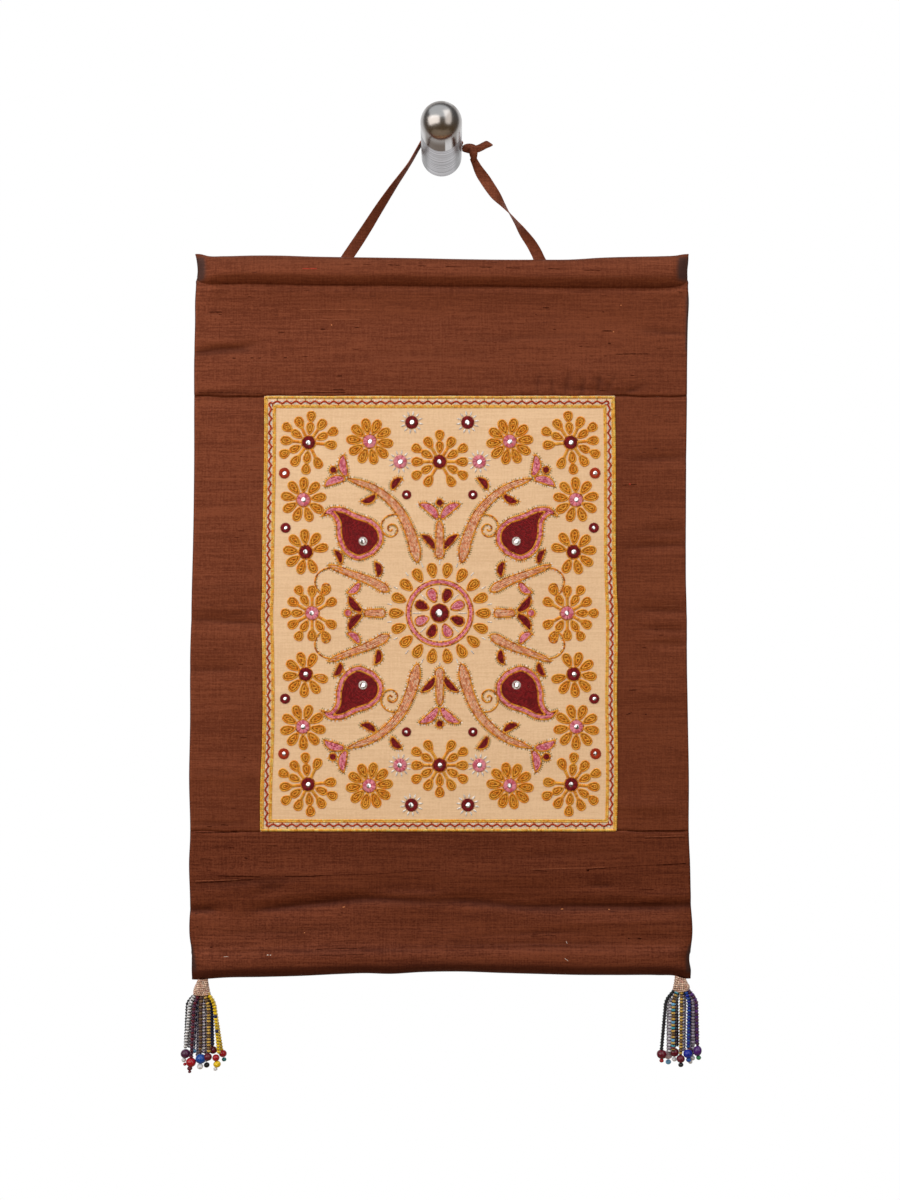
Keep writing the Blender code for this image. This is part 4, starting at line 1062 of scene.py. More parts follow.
mesh.attributes.new("tint", "FLOAT_COLOR", "POINT").data.foreach_set("color", np.array(tints).ravel())
patches = bpy.data.objects.new("thread_padding", mesh)
bpy.context.scene.collection.objects.link(patches)
patches.select_set(True)
finish_cloth(patches, 0.2 * MM, gap_shade_material, "gold_thread", "embroidered_panel")


# The mirrors, small round chips of silvered glass, each held by the stitches that ring it.
bpy.ops.mesh.primitive_uv_sphere_add(segments=20, ring_count=10, radius=1.0)
chip = bpy.context.object
chip.name = "mirror_chip_pattern"
chip.data.transform(Matrix.Rotation(0.5 * math.pi, 4, "X"))
bpy.ops.object.shade_smooth()
silvered, tree, shader = new_material("mirror_glass")
shader.inputs["Metallic"].default_value = 1.0
bloom = speckle(tree, 520.0)
glass_tone = tree.nodes.new("ShaderNodeValToRGB")
glass_tone.color_ramp.elements[0].position = 0.35
glass_tone.color_ramp.elements[0].color = (0.60, 0.60, 0.61, 1.0)
glass_tone.color_ramp.elements[1].position = 0.60
glass_tone.color_ramp.elements[1].color = (0.92, 0.92, 0.92, 1.0)
tree.links.new(bloom, glass_tone.inputs["Fac"])
tree.links.new(glass_tone.outputs["Color"], shader.inputs["Base Color"])
tree.links.new(between(tree, bloom, 0.3, 0.7, 0.10, 0.26), shader.inputs["Roughness"])
CHIP_THICKNESS = 0.45
spots = []
for cover, across, up in COVERS:
    for disc in cover.discs:
        place = on_panel(flip(disc.at, across, up), 0.45)[0]
        lean = (chance.uniform(-0.16, 0.04), 0.0,
                chance.choice((-0.30, -0.24, 0.32)) + chance.uniform(-0.08, 0.08))
        size = Vector((disc.radius, CHIP_THICKNESS, disc.radius)) * MM
        spots.append((tuple(place), lean, size, (1.0, 1.0, 1.0)))
place_copies("mirror_chips", chip, spots, silvered, "small_mirror", "embroidered_panel")
for pattern in (link, chip):
    bpy.data.objects.remove(pattern)


# The slubs and stray fibres of the brown silk: thick places in its weft, mostly darker than the
# cloth, a few specks of other silk and some white lint. Each lies on the cloth along its threads.
Slub = namedtuple("Slub", "across height to_across to_height thick tone")
SLUB_TONES = {"dark": (0.030, 0.005, 0.002), "faint": (0.062, 0.012, 0.005),
              "pale": (0.30, 0.095, 0.045), "orange": (0.70, 0.26, 0.10),
              "red": (0.46, 0.05, 0.03), "lint": (0.72, 0.64, 0.56)}
SLUBS = [Slub(*row) for row in (
    (-183.3, -125.7, -173.1, -125.7, 0.8, "dark"), (-95, -139.2, -91.8, -139.2, 0.8, "dark"),
    (-86.6, -135.9, -86.6, -135.9, 1.10, "orange"), (-68.3, -137.8, -65.2, -137.8, 0.8, "dark"),
    (-164.5, -162, -162.1, -162, 0.8, "dark"), (-150.4, -162, -148, -162, 0.7, "dark"),
    (-144.1, -162, -142.1, -162, 0.7, "dark"), (-124.1, -162, -121.7, -162, 0.7, "dark"),
    (-82.5, -176.4, -78.5, -176.4, 0.8, "dark"), (-85.2, -187, -77.4, -186.8, 0.7, "dark"),
    (-128.6, -141.6, -123.9, -141.6, 0.8, "dark"), (-108.8, -93.2, -97.8, -93.2, 0.8, "red"),
    (-75.8, -89.6, -70.3, -89.8, 0.6, "faint"), (-60.9, -90, -54.6, -90.1, 0.6, "faint"),
    (-42, -90.3, -32.6, -90.7, 0.7, "dark"), (-18.5, -91, -12.2, -91.1, 0.6, "faint"),
    (3.5, -91.4, 16, -91.8, 0.7, "faint"), (30.2, -92.1, 39.6, -92.3, 0.7, "dark"),
    (50.6, -92.5, 61.6, -92.8, 0.6, "faint"), (83.6, -93.3, 93, -93.6, 0.7, "dark"),
    (111.8, -94.4, 124.4, -94.7, 0.6, "faint"), (127, -140.6, 134, -140.6, 0.9, "dark"),
    (135.1, -141.3, 135.8, -141.3, 1.20, "orange"), (137.4, -159, 164.1, -158.9, 0.6, "dark"),
    (79.9, -122.5, 84.7, -122.5, 0.8, "dark"), (131, -150.5, 133.4, -150.5, 0.8, "dark"),
    (169.5, -154.1, 178.9, -154.1, 0.6, "faint"), (126.6, -125.7, 128.1, -125.7, 0.8, "dark"),
    (140.9, -120.6, 141.6, -120.6, 1.00, "orange"), (192.4, -146.4, 193.1, -146.4, 1.10, "orange"),
    (-111.1, -123.8, -56.2, -123.5, 0.45, "pale"), (-111.1, -131.6, -64, -131.5, 0.45, "pale"),
    (142.4, -262.3, 147.1, -262.1, 0.9, "dark"), (147.5, -261.6, 148.7, -261.6, 1.20, "red"),
    (149.1, -262, 153.4, -262.1, 0.9, "dark"), (-196.9, -574.1, -147.2, -571.1, 0.9, "dark"),
    (-196.9, -572.3, -159, -571.4, 0.5, "pale"), (-174.4, -568.2, -141.7, -569.1, 0.8, "dark"),
    (-147.2, -570.9, -119, -570.6, 0.5, "faint"), (-122.1, -568.8, -93.1, -568.3, 0.8, "dark"),
    (-100.1, -568, -60.1, -567.3, 0.5, "faint"), (-60.1, -567.3, -4.4, -563.9, 0.5, "faint"),
    (-177.8, -545.5, -162.1, -546.2, 0.6, "faint"), (-165.7, -546.4, -164.1, -546.4, 1.00, "dark"),
    (-136.2, -544.8, -128.4, -544.9, 0.6, "dark"), (-188.5, -555.1, -181.3, -555.1, 0.7, "dark"),
    (-154, -554.2, -151.6, -554.7, 1.00, "dark"), (-191.2, -608.1, -189.6, -608.1, 0.9, "dark"),
    (-180.2, -623.4, -178.6, -623.4, 0.9, "dark"), (-169, -630.1, -165.4, -630, 0.45, "lint"),
    (-135.5, -628.8, -134.4, -628.8, 1.00, "lint"), (-133.3, -628.9, -132.3, -628.9, 0.9, "lint"),
    (-77.2, -593, -75.6, -592.7, 1.00, "orange"), (-107.2, -612.4, -106.4, -612.4, 0.9, "orange"),
    (-97, -624.6, -60.1, -623.5, 0.6, "dark"), (-93.9, -629, -60.1, -628.2, 0.5, "dark"),
    (140.9, -533.4, 195.4, -532.8, 0.7, "dark"), (147.9, -533.6, 151.9, -533.6, 1.30, "dark"),
    (158.8, -539, 195.4, -538.1, 0.55, "dark"), (158.8, -538, 195.4, -537, 0.40, "pale"),
    (69.4, -563.6, 82.8, -564.8, 0.6, "dark"), (69.4, -563.1, 127.5, -561.7, 0.40, "pale"),
    (127.5, -562.1, 166.8, -559.9, 0.5, "faint"), (112.6, -563.6, 128.1, -562.2, 0.7, "dark"),
    (113.4, -564.1, 115.4, -564.1, 1.20, "dark"), (167.3, -559.9, 191.1, -558.8, 0.8, "dark"),
    (154.6, -579.4, 165.7, -578.7, 0.9, "faint"), (93.4, -594.5, 95.2, -594.2, 0.90, "orange"),
    (130.5, -594.9, 131.8, -594.9, 1.10, "orange"), (97.2, -618.9, 98.1, -620.8, 0.38, "lint"),
    (95.9, -631.4, 98.6, -633.4, 0.40, "lint"), (69.4, -615, 89.1, -614.5, 0.6, "dark"),
    (140.1, -613.5, 180.1, -613.9, 0.45, "faint"), (145.4, -616.5, 146.7, -616.5, 0.9, "dark"),
    (153.1, -616.9, 155.8, -616.9, 0.9, "dark"), (-197.1, -189.4, -141, -189.7, 0.55, "dark"),
    (-197.1, -191.8, -158.2, -191.5, 0.45, "faint"), (-110.3, -189.4, -75.8, -189.3, 0.7, "dark"),
    (-98.6, -187.5, -75.8, -187.8, 0.45, "faint"), (147.1, -423.3, 153, -423.3, 0.9, "dark"),
    (145, -442.5, 149, -440.9, 0.9, "dark"), (159.5, -442.3, 160.8, -442.3, 1.00, "dark"),
    (140.9, -408.2, 168.1, -408.2, 0.40, "pale"), (-192.8, -534.7, -158.2, -534.3, 0.6, "dark"),
    (-155.1, -534, -141, -534, 0.5, "faint"), (-172.4, -528.5, -166.9, -528.8, 0.8, "dark"),
    (-164.5, -533.5, -159.8, -533.6, 0.9, "dark"),
)]
bpy.ops.mesh.primitive_uv_sphere_add(segments=6, ring_count=4, radius=0.5)
slub_strand = bpy.context.object
slub_strand.name = "slub_pattern"
slub_strand.data.transform(Matrix.Rotation(0.5 * math.pi, 4, "Y"))
bpy.ops.object.shade_smooth()
SLUB_LENGTH = 5.0
slub_threads = thread_material("slub_threads", 0.8)
slub_threads.node_tree.nodes["Principled BSDF"].inputs["Specular IOR Level"].default_value = 0.0


def cloth_front(x, z):
    """The place on the front of the brown silk at x and z."""
    if not cloth_edge(SIDES, "left", z) + 3.0 * MM < x < cloth_edge(SIDES, "right", z) - 3.0 * MM:
        return None
    piece = left_strip if x < 0.0 else right_strip
    if not BOTTOM_SEAM < z < TOP_SEAM:
        piece = top_band if z > TOP_SEAM else bottom_band
    hit, place, _, _ = piece.ray_cast(Vector((x, -0.3, z)), Vector((0.0, 1.0, 0.0)))
    return place if hit else None


# Faint short slubs are scattered over the brown silk, and none on the panel.
chance = random.Random(11)
scattered = []
for _ in range(150):
    x, z = chance.uniform(-190.0, 186.0), chance.uniform(-636.0, -108.0)
    if not (-144.0 < x < 141.0 and -536.0 < z < -190.0):
        scattered.append(Slub(x, z, x + chance.uniform(1.6, 4.6), z, chance.uniform(0.45, 0.7), "faint"))
spots = []
for slub in (*SLUBS, *scattered):
    start, end = complex(slub.across, slub.height), complex(slub.to_across, slub.to_height)
    count = max(1, round(abs(end - start) / SLUB_LENGTH))
    heading = float(np.angle(end - start)) if end != start else 0.0
    for number in range(count):
        at = start + (end - start) * (number + 0.5) / count
        place = cloth_front(at.real * MM, (at.imag + chance.uniform(-0.12, 0.12)) * MM)
        if place is None:
            continue
        long = max(abs(end - start) / count * 1.25, slub.thick) * MM
        thick = slub.thick * chance.uniform(0.75, 1.2) * MM
        tint = Vector(SLUB_TONES[slub.tone]) * chance.uniform(0.85, 1.15)
        spots.append((tuple(place), (0.0, -heading, 0.0), (long, 0.6 * thick, thick), tint))
place_copies("silk_slubs", slub_strand, spots, slub_threads, "brown_silk", "top_band", "left_strip",
             "right_strip", "bottom_band")
bpy.data.objects.remove(slub_strand)


# The two tassels: cones of small cream beads under the hem's corners, and from them strings of
# glass seed beads of many colours, most with one or more larger glass beads at the end.
BEAD_COLOURS = {
    "black": (0.010, 0.010, 0.013), "silver": (0.74, 0.72, 0.72), "clear": (0.80, 0.80, 0.82),
    "maroon": (0.130, 0.005, 0.018), "plum": (0.080, 0.014, 0.055), "lilac": (0.52, 0.45, 0.55),
    "navy": (0.012, 0.016, 0.085), "bronze": (0.200, 0.110, 0.045), "brown": (0.090, 0.040, 0.035),
    "gold": (0.62, 0.38, 0.07), "yellow": (0.90, 0.60, 0.01), "red": (0.40, 0.004, 0.012),
    "blue": (0.010, 0.075, 0.36), "teal": (0.015, 0.210, 0.200), "turquoise": (0.06, 0.42, 0.56),
    "purple": (0.085, 0.015, 0.170), "sky": (0.16, 0.44, 0.72), "green": (0.03, 0.22, 0.08),
    "pink": (0.62, 0.46, 0.50), "grey": (0.32, 0.28, 0.32), "royal": (0.010, 0.022, 0.330),
    "cream": (0.78, 0.55, 0.41), "blush": (0.72, 0.43, 0.33), "sand": (0.55, 0.33, 0.23),
}
Ring = namedtuple("Ring", "across height half_width half_depth slant")
LEFT_HEAD = [Ring(*row) for row in (
    (-186, -648.5, 3.7, 3.2, 0.2), (-186.3, -650.8, 4.3, 3.9, 0), (-186.8, -654.2, 5.5, 4.9, 0),
    (-186.9, -659.2, 6.5, 6, 0), (-186.6, -660.8, 6.2, 5.8, 0),
)]
RIGHT_HEAD = [Ring(*row) for row in (
    (186.4, -646.9, 4, 3.4, -1.2), (186.5, -649.2, 4.6, 4.2, -0.8), (186.9, -652.2, 5.6, 5, 0),
    (187, -655.8, 6.7, 6, 0.9), (187, -657.2, 6.4, 5.8, 0.9),
)]
# Each string: where it leaves the head, is after a quarter of its fall and ends, all across; the
# height of its end, its depth at the head and at the end, and the colours that its beads repeat.
String = namedtuple("String", "root quarter low height root_depth depth colours")
LEFT_STRINGS = (
    String(-191.0, -198.6, -199.9, -699.8, -5.8, -4.0, "black"),
    String(-191.2, -195.8, -199.2, -702.0, -9.0, -10.6, "silver clear"),
    String(-189.8, -194.4, -196.9, -700.8, -6.4, -7.4, "clear silver"),
    String(-188.6, -192.4, -194.2, -708.0, -11.4, -12.8, "plum maroon"),
    String(-187.8, -190.9, -192.9, -701.0, -9.2, -8.8, "lilac navy"),
    String(-187.4, -190.0, -190.6, -708.6, -4.6, -4.0, "lilac"),
    String(-186.6, -187.0, -187.2, -705.2, -12.0, -12.8, "bronze brown"),
    String(-187.0, -186.1, -186.3, -703.0, -7.6, -8.2, "brown plum"),
    String(-184.0, -182.9, -183.1, -712.0, -8.4, -8.8, "grey lilac"),
    String(-184.8, -182.8, -182.6, -702.0, -4.6, -4.0, "lilac"),
    String(-184.2, -180.9, -180.6, -704.4, -11.8, -13.2, "gold gold bronze gold"),
    String(-181.6, -178.9, -178.3, -700.0, -6.8, -8.2, "navy"),
    String(-181.8, -176.0, -172.9, -705.4, -9.2, -12.4,
           "yellow " * 8 + "navy " + "yellow " * 4 + "navy " + "yellow " * 14),
    String(-183.2, -177.2, -171.9, -704.0, -4.2, -4.0, "yellow"),
    String(-190.4, -196.8, -198.0, -700.0, -7.6, -8.0, "silver clear"),
    String(-186.0, -185.0, -184.8, -704.0, -10.4, -10.8, "silver lilac"),
    String(-183.0, -180.8, -179.4, -703.0, -5.4, -5.8, "gold black"),
)
RIGHT_STRINGS = (
    String(182.2, 174.3, 171.1, -702.0, -9.2, -11.6, "black"),
    String(183.2, 177.2, 177.2, -704.2, -6.8, -4.6, "lilac clear"),
    String(184.0, 180.2, 179.8, -702.0, -10.8, -13.2, "gold turquoise gold bronze gold sky"),
    String(184.6, 181.9, 181.5, -701.4, -8.2, -9.4, "plum black"),
    String(185.8, 184.0, 184.2, -702.0, -5.2, -4.4, "plum black"),
    String(186.8, 186.4, 185.8, -705.8, -11.6, -12.8, "gold gold bronze"),
    String(188.2, 189.7, 189.0, -703.0, -7.6, -8.2, "lilac"),
    String(189.6, 192.4, 191.6, -701.8, -11.0, -12.6, "royal blue"),
    String(189.8, 193.8, 194.6, -701.2, -5.0, -4.0, "lilac grey"),
    String(190.2, 194.7, 195.2, -707.2, -7.8, -8.7, "purple"),
    String(191.6, 198.4, 199.0, -699.6, -10.4, -12.2, "purple plum"),
    String(191.6, 198.3, 198.8, -698.6, -5.6, -5.2, "purple"),
    String(183.4, 178.4, 177.6, -704.0, -9.4, -10.6, "lilac clear"),
    String(187.4, 188.0, 187.4, -704.0, -9.6, -10.2, "lilac silver"),
    String(190.8, 195.8, 195.8, -702.0, -9.6, -10.2, "lilac grey"),
)
EndBead = namedtuple("EndBead", "across height depth wide tall colour")
LEFT_ENDS = [EndBead(*row) for row in (
    (-199, -705.7, -10.6, 7, 6.4, "plum"), (-200.3, -710.6, -10.6, 3.4, 3, "clear"),
    (-199.4, -713.8, -10.6, 2.6, 2.2, "red"), (-194.4, -711.8, -12.8, 7.2, 6.6, "red"),
    (-195.3, -716.5, -12.8, 3.8, 3.2, "maroon"), (-195.4, -719.1, -12.8, 2.4, 2, "maroon"),
    (-186.8, -709.2, -12.8, 7.6, 7, "blue"), (-187.3, -715, -12.8, 4.4, 4, "clear"),
    (-189.9, -711.8, -4, 4.2, 3.8, "clear"), (-181.2, -707.6, -13.4, 5.8, 5.4, "maroon"),
    (-177.9, -703.4, -8.2, 5.8, 5.4, "maroon"), (-182.7, -714.8, -8.8, 4.2, 3.8, "black"),
    (-175.1, -708.5, -12.4, 5.2, 4.8, "red"), (-174.2, -713.4, -12.4, 5.4, 4.8, "yellow"),
    (-175.5, -717.1, -12.2, 3, 2.6, "clear"), (-170.8, -707.1, -4, 5.7, 5.2, "red"),
    (-169.8, -711.6, -4, 3.4, 3, "teal"), (-192.6, -704, -8.8, 3.6, 3, "sky"),
)]
RIGHT_ENDS = [EndBead(*row) for row in (
    (171.2, -705.9, -11.6, 7.2, 6.6, "maroon"), (171.1, -710.8, -11.6, 3.2, 2.8, "red"),
    (176.9, -707.8, -4.6, 6.8, 6.2, "pink"), (177.2, -713.4, -4.6, 4, 3.6, "sky"),
    (181.4, -704.9, -9.4, 6.6, 6.2, "maroon"), (181.2, -710.2, -9.4, 3.6, 3.2, "clear"),
    (185.8, -709.2, -12.8, 6, 5.6, "maroon"), (185.9, -713.8, -12.8, 3.8, 3.2, "black"),
    (191.4, -705.3, -12.6, 6.6, 6.2, "royal"), (192, -710, -12.6, 3.8, 3.2, "blue"),
    (194.5, -703.7, -4, 4.8, 4.4, "red"), (195.3, -709.4, -8.7, 4, 3.6, "clear"),
    (193.8, -712.4, -8.6, 3.2, 2.8, "clear"), (199, -703.2, -12.2, 6, 7.4, "purple"),
    (199.8, -708.4, -12.2, 3.6, 3.2, "green"), (179.8, -700.6, -13.2, 3.2, 2.8, "maroon"),
)]
SEED_WIDE, SEED_LONG = 3.5 * MM, 2.3 * MM
# How bright the short piece of string between two beads is beside the bead, by the bead's colour.
JOINT_TONES = {"silver": 0.10, "clear": 0.12, "lilac": 0.35, "gold": 0.06, "turquoise": 0.06}
SWING_SHARE = 0.25
HEAD_DEPTH = -8.2 * MM
HEAD_BEAD = 1.75 * MM
HEAD_BEAD_PITCH, HEAD_ROW_DROP = 1.62, 1.36

# Glossy opaque glass whose colour each bead brings with it.
bead_glass, tree, shader = new_material("seed_beads")
blotches = speckle(tree, 900.0)
bead_tone = mixed(tree, attribute(tree, "tint", "Color"), between(tree, blotches, 0.3, 0.7, 0.75, 1.2),
                  1.0, "MULTIPLY")
tree.links.new(bead_tone, shader.inputs["Base Color"])
tree.links.new(between(tree, blotches, 0.35, 0.7, 0.06, 0.16), shader.inputs["Roughness"])
shader.inputs["Coat Weight"].default_value = 0.25
shader.inputs["Coat Roughness"].default_value = 0.06
shader.inputs["Specular IOR Level"].default_value = 0.35
bpy.ops.mesh.primitive_uv_sphere_add(segments=8, ring_count=5, radius=0.5)
seed = bpy.context.object
seed.name = "seed_bead_pattern"
for vertex in seed.data.vertices:
    if abs(vertex.co.z) > 0.49:
        vertex.co.z *= 0.45
bpy.ops.object.shade_smooth()
bpy.ops.mesh.primitive_uv_sphere_add(segments=18, ring_count=12, radius=0.5)
round_bead = bpy.context.object
round_bead.name = "round_bead_pattern"
for vertex in round_bead.data.vertices:
    if abs(vertex.co.z) > 0.499:
        vertex.co.z *= 0.80
bpy.ops.object.shade_smooth()


def string_place(string, foot, share):
    """Where a string is after a share of its fall: it swings out of the head, then hangs."""
    swing = math.sin(0.5 * math.pi * min(1.0, share / SWING_SHARE))
    fall = max(0.0, (share - SWING_SHARE) / (1.0 - SWING_SHARE))
    across = string.root + (string.quarter - string.root) * swing
    across += (string.low - across) * fall
    depth = string.root_depth + (string.depth - string.root_depth) * swing
    return Vector((across, depth, foot + (string.height - foot) * share)) * MM


def bead_tassel(side, head, strings, ends, node):
    """The beads of one tassel: its head's rounds, its strings and its end beads."""
    chance = random.Random(side)
    foot = head[-1].height
    rising = head[::-1]
    heights = [ring.height for ring in rising]
    rounds = []
    level, row = head[0].height - 0.4, 0
    while level > foot + 0.1:
        across, half_width, half_depth, slant = (
            float(eased(heights, [getattr(ring, label) for ring in rising], level))
            for label in ("across", "half_width", "half_depth", "slant"))
        count = round(math.pi * (half_width + half_depth) / HEAD_BEAD_PITCH)
        for step in range(count):
            angle = 2.0 * math.pi * (step + 0.5 * (row % 2)) / count
            out = Vector((math.cos(angle) * half_width * 0.9, math.sin(angle) * half_depth * 0.9,
                          slant * math.cos(angle)))
            place = Vector((across * MM, HEAD_DEPTH, level * MM)) + out * MM
            turn = (chance.uniform(-0.3, 0.3), chance.uniform(-0.3, 0.3), 0.0)
            size = HEAD_BEAD * chance.uniform(0.92, 1.08)
            tint = Vector(BEAD_COLOURS[chance.choice(("cream", "cream", "blush", "sand"))])
            rounds.append((place, turn, (size, size, size * 0.92), tint * chance.uniform(0.8, 1.15)))
        level -= HEAD_ROW_DROP
        row += 1
    hanging = []
    for string in strings:
        colours = string.colours.split()
        path = [string_place(string, foot + 0.8, step / 120) for step in range(121)]
        travelled, next_bead, number = 0.0, 0.0, 0
        for before, after in zip(path, path[1:]):
            step = (after - before).length
            while travelled + step >= next_bead:
                spot = before.lerp(after, (next_bead - travelled) / step)
                turn = (after - before).to_track_quat("Z", "Y").to_euler()
                turn.x += chance.uniform(-0.10, 0.10)
                turn.y += chance.uniform(-0.10, 0.10)
                wide = SEED_WIDE * chance.uniform(0.94, 1.04)
                colour = colours[number % len(colours)]
                tint = Vector(BEAD_COLOURS[colour]) * chance.uniform(0.8, 1.2)
                hanging.append((spot, tuple(turn), (wide, wide, SEED_LONG * 0.88), tint))
                joint = spot + (after - before).normalized() * 0.5 * SEED_LONG
                hanging.append((joint, tuple(turn), (0.76 * wide, 0.76 * wide, SEED_LONG * 0.5),
                                tint * JOINT_TONES.get(colour, 0.5)))
                next_bead += SEED_LONG
                number += 1
            travelled += step
    place_copies(f"{side}_tassel_strings", seed, rounds + hanging, bead_glass, "seed_beads", node)
    large = [(Vector((end.across, end.depth, end.height)) * MM,
              (chance.uniform(-0.2, 0.2), chance.uniform(-0.2, 0.2), 0.0),
              (1.1 * end.wide * MM, 1.1 * end.wide * MM, 1.1 * end.tall * MM), BEAD_COLOURS[end.colour])
             for end in ends]
    place_copies(f"{side}_tassel_end_beads", round_bead, large, bead_glass, "seed_beads", node)


bead_tassel("left", LEFT_HEAD, LEFT_STRINGS, LEFT_ENDS, "tassel_left")
bead_tassel("right", RIGHT_HEAD, RIGHT_STRINGS, RIGHT_ENDS, "tassel_right")
for pattern in (seed, round_bead):
    bpy.data.objects.remove(pattern)


# The wall knob, one turned bar of satin metal with a round end, rising a little from the wall and
# cut flush with it. Fine rings of the lathe show along its shaft. Painted reflections are in its
# colour: a dark collar on the cap with a bright strip and light edges, and darker sides on the shaft.
KNOB_RADIUS = 15.9 * MM
KNOB_REACH = 56.0 * MM
KNOB_RISE = math.radians(11.0)
knob_axis = Vector((0.0, -math.cos(KNOB_RISE), math.sin(KNOB_RISE)))
bpy.ops.mesh.primitive_uv_sphere_add(segments=96, ring_count=48, radius=KNOB_RADIUS,
                                     location=knob_axis * KNOB_REACH,
                                     rotation=(0.5 * math.pi - KNOB_RISE, 0.0, 0.0))
knob = bpy.context.object
knob.name = "metal_knob"
bpy.ops.object.mode_set(mode="EDIT")
bpy.ops.mesh.select_mode(type="FACE")
bpy.ops.mesh.select_all(action="DESELECT")
bpy.ops.object.mode_set(mode="OBJECT")
for face in knob.data.polygons:
    face.select = face.center.z < 0.0
bpy.ops.object.mode_set(mode="EDIT")
bpy.ops.mesh.delete(type="FACE")
bpy.ops.mesh.select_mode(type="EDGE")
bpy.ops.mesh.select_non_manifold()
for _ in range(4):
    bpy.ops.mesh.extrude_region_move(TRANSFORM_OT_translate={"value": -knob_axis * 0.3 * KNOB_REACH})
bpy.ops.object.mode_set(mode="OBJECT")
bpy.ops.object.transform_apply(location=True, rotation=True, scale=True)
bpy.ops.object.mode_set(mode="EDIT")
bpy.ops.mesh.select_all(action="SELECT")
bpy.ops.mesh.bisect(plane_co=(0.0, 0.0, 0.0), plane_no=(0.0, 1.0, 0.0), use_fill=True, clear_outer=True)
bpy.ops.object.mode_set(mode="OBJECT")
face_outwards()
bpy.ops.object.shade_smooth_by_angle(angle=math.radians(40.0))
satin, tree, shader = new_material("satin_steel")
shader.inputs["Metallic"].default_value = 1.0
coordinates = tree.nodes.new("ShaderNodeTexCoord")
along_axis = tree.nodes.new("ShaderNodeMapping")
along_axis.inputs["Rotation"].default_value = (-KNOB_RISE, 0.0, 0.0)
tree.links.new(coordinates.outputs["Object"], along_axis.inputs["Vector"])
lathe = streaks(tree, along_axis.outputs[0], 8.0, 8.0, inwards=800.0)
place = tree.nodes.new("ShaderNodeSeparateXYZ")
tree.links.new(along_axis.outputs[0], place.inputs[0])
cap = between(tree, place.outputs["Y"], -42.7 * MM, -43.3 * MM)
dome = between(tree, place.outputs["Y"], -50.0 * MM, -64.0 * MM)
across = math_node(tree, "DIVIDE", place.outputs["X"], KNOB_RADIUS)
beside = math_node(tree, "ABSOLUTE", across)
# Painted reflections: a bright strip down the cap, and light edges at its sides.
painted_strip_reflection = math_node(tree, "MULTIPLY", between(tree, across, 0.16, 0.22),
                         between(tree, across, 0.60, 0.46))
painted_rim_reflections = between(tree, beside, 0.66, 0.84)
# Painted reflection: darker sides along the shaft.
painted_dark_flanks = math_node(tree, "MULTIPLY", between(tree, beside, 0.55, 0.80), between(tree, beside, 0.99, 0.88))
shaft_tone = mixed(tree, (0.28, 0.275, 0.285), (0.76, 0.75, 0.78), between(tree, lathe, 0.3, 0.7))
shaft_tone = mixed(tree, shaft_tone, (0.20, 0.20, 0.20), math_node(tree, "MULTIPLY", painted_dark_flanks, 0.6))
# Painted reflection: the cap's dark collar under the painted strip and edges, with the dome's own tone at
# its tip.
cap_tone_with_painted_reflections = mixed(tree, (0.120, 0.088, 0.068), (0.170, 0.128, 0.100), lathe)
cap_tone_with_painted_reflections = mixed(tree, cap_tone_with_painted_reflections, (0.66, 0.64, 0.64), math_node(tree, "MAXIMUM", painted_strip_reflection, painted_rim_reflections))
cap_tone_with_painted_reflections = mixed(tree, cap_tone_with_painted_reflections, (0.41, 0.385, 0.37), dome)
tree.links.new(mixed(tree, shaft_tone, cap_tone_with_painted_reflections, cap), shader.inputs["Base Color"])
tree.links.new(between(tree, cap, 0.0, 1.0, 0.36, 0.25), shader.inputs["Roughness"])
relief(tree, shader, lathe, 0.12, 0.1 * MM)
knob.data.materials.append(satin)
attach(knob, "root")
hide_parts("wall_knob")
knob.select_set(False)


# The silk ribbon, a narrow strip with its edges pressed in. The left length runs from behind the
# pocket over the knob to the tie, and the right one from behind the pocket up to it, with a twist.
Stop = namedtuple("Stop", "across depth height turn wide")
LEFT_RIBBON = (
    Stop(-84.8, -1.2, -97.3, 0.0, 8.8), Stop(-79.9, -1.2, -90.0, 0.0, 8.8),
    Stop(-75.6, -1.5, -82.6, 9.0, 8.8), Stop(-67.6, -2.0, -70.6, 22.0, 8.8),
    Stop(-60.8, -2.4, -60.3, 36.0, 8.8), Stop(-49.0, -3.5, -41.8, 50.0, 8.2),
    Stop(-37.4, -4.8, -24.6, 65.0, 7.0), Stop(-25.8, -6.3, -8.4, 80.0, 5.4),
)
LEFT_RIBBON_END = (Stop(16.6, -8.0, 6.9, 90.0, 8.8),)
RIGHT_RIBBON = (
    Stop(86.6, -1.2, -97.3, 180.0, 8.8), Stop(82.2, -1.2, -90.2, 180.0, 8.8),
    Stop(77.4, -1.7, -82.4, 168.0, 8.8), Stop(75.2, -2.2, -77.8, 158.0, 8.8),
    Stop(71.2, -3.2, -71.0, 140.0, 8.8), Stop(65.2, -4.2, -63.0, 121.0, 8.8),
    Stop(58.6, -5.0, -53.7, 91.0, 8.8), Stop(54.5, -5.6, -48.2, 77.0, 8.8),
    Stop(48.3, -6.4, -40.2, 55.0, 8.8), Stop(42.2, -7.2, -32.3, 21.0, 8.8),
    Stop(34.7, -8.0, -21.4, 0.0, 8.8), Stop(28.9, -8.5, -12.4, -36.0, 7.6),
    Stop(26.8, -8.7, -8.1, -42.0, 6.5), Stop(24.6, -9.0, -3.4, -38.0, 5.4),
)
RIBBON_THICKNESS = 0.8 * MM
RING_STEPS, RING_START, RING_END = 20, 146.0, 34.0
ribbon_silk = silk("ribbon_silk", dark=(0.150, 0.036, 0.015), light=(0.250, 0.068, 0.030),
                   slub=(0.085, 0.020, 0.009), fleck=(0.28, 0.10, 0.05),
                   roughness=0.55, bump=0.5, lustre=0.3)


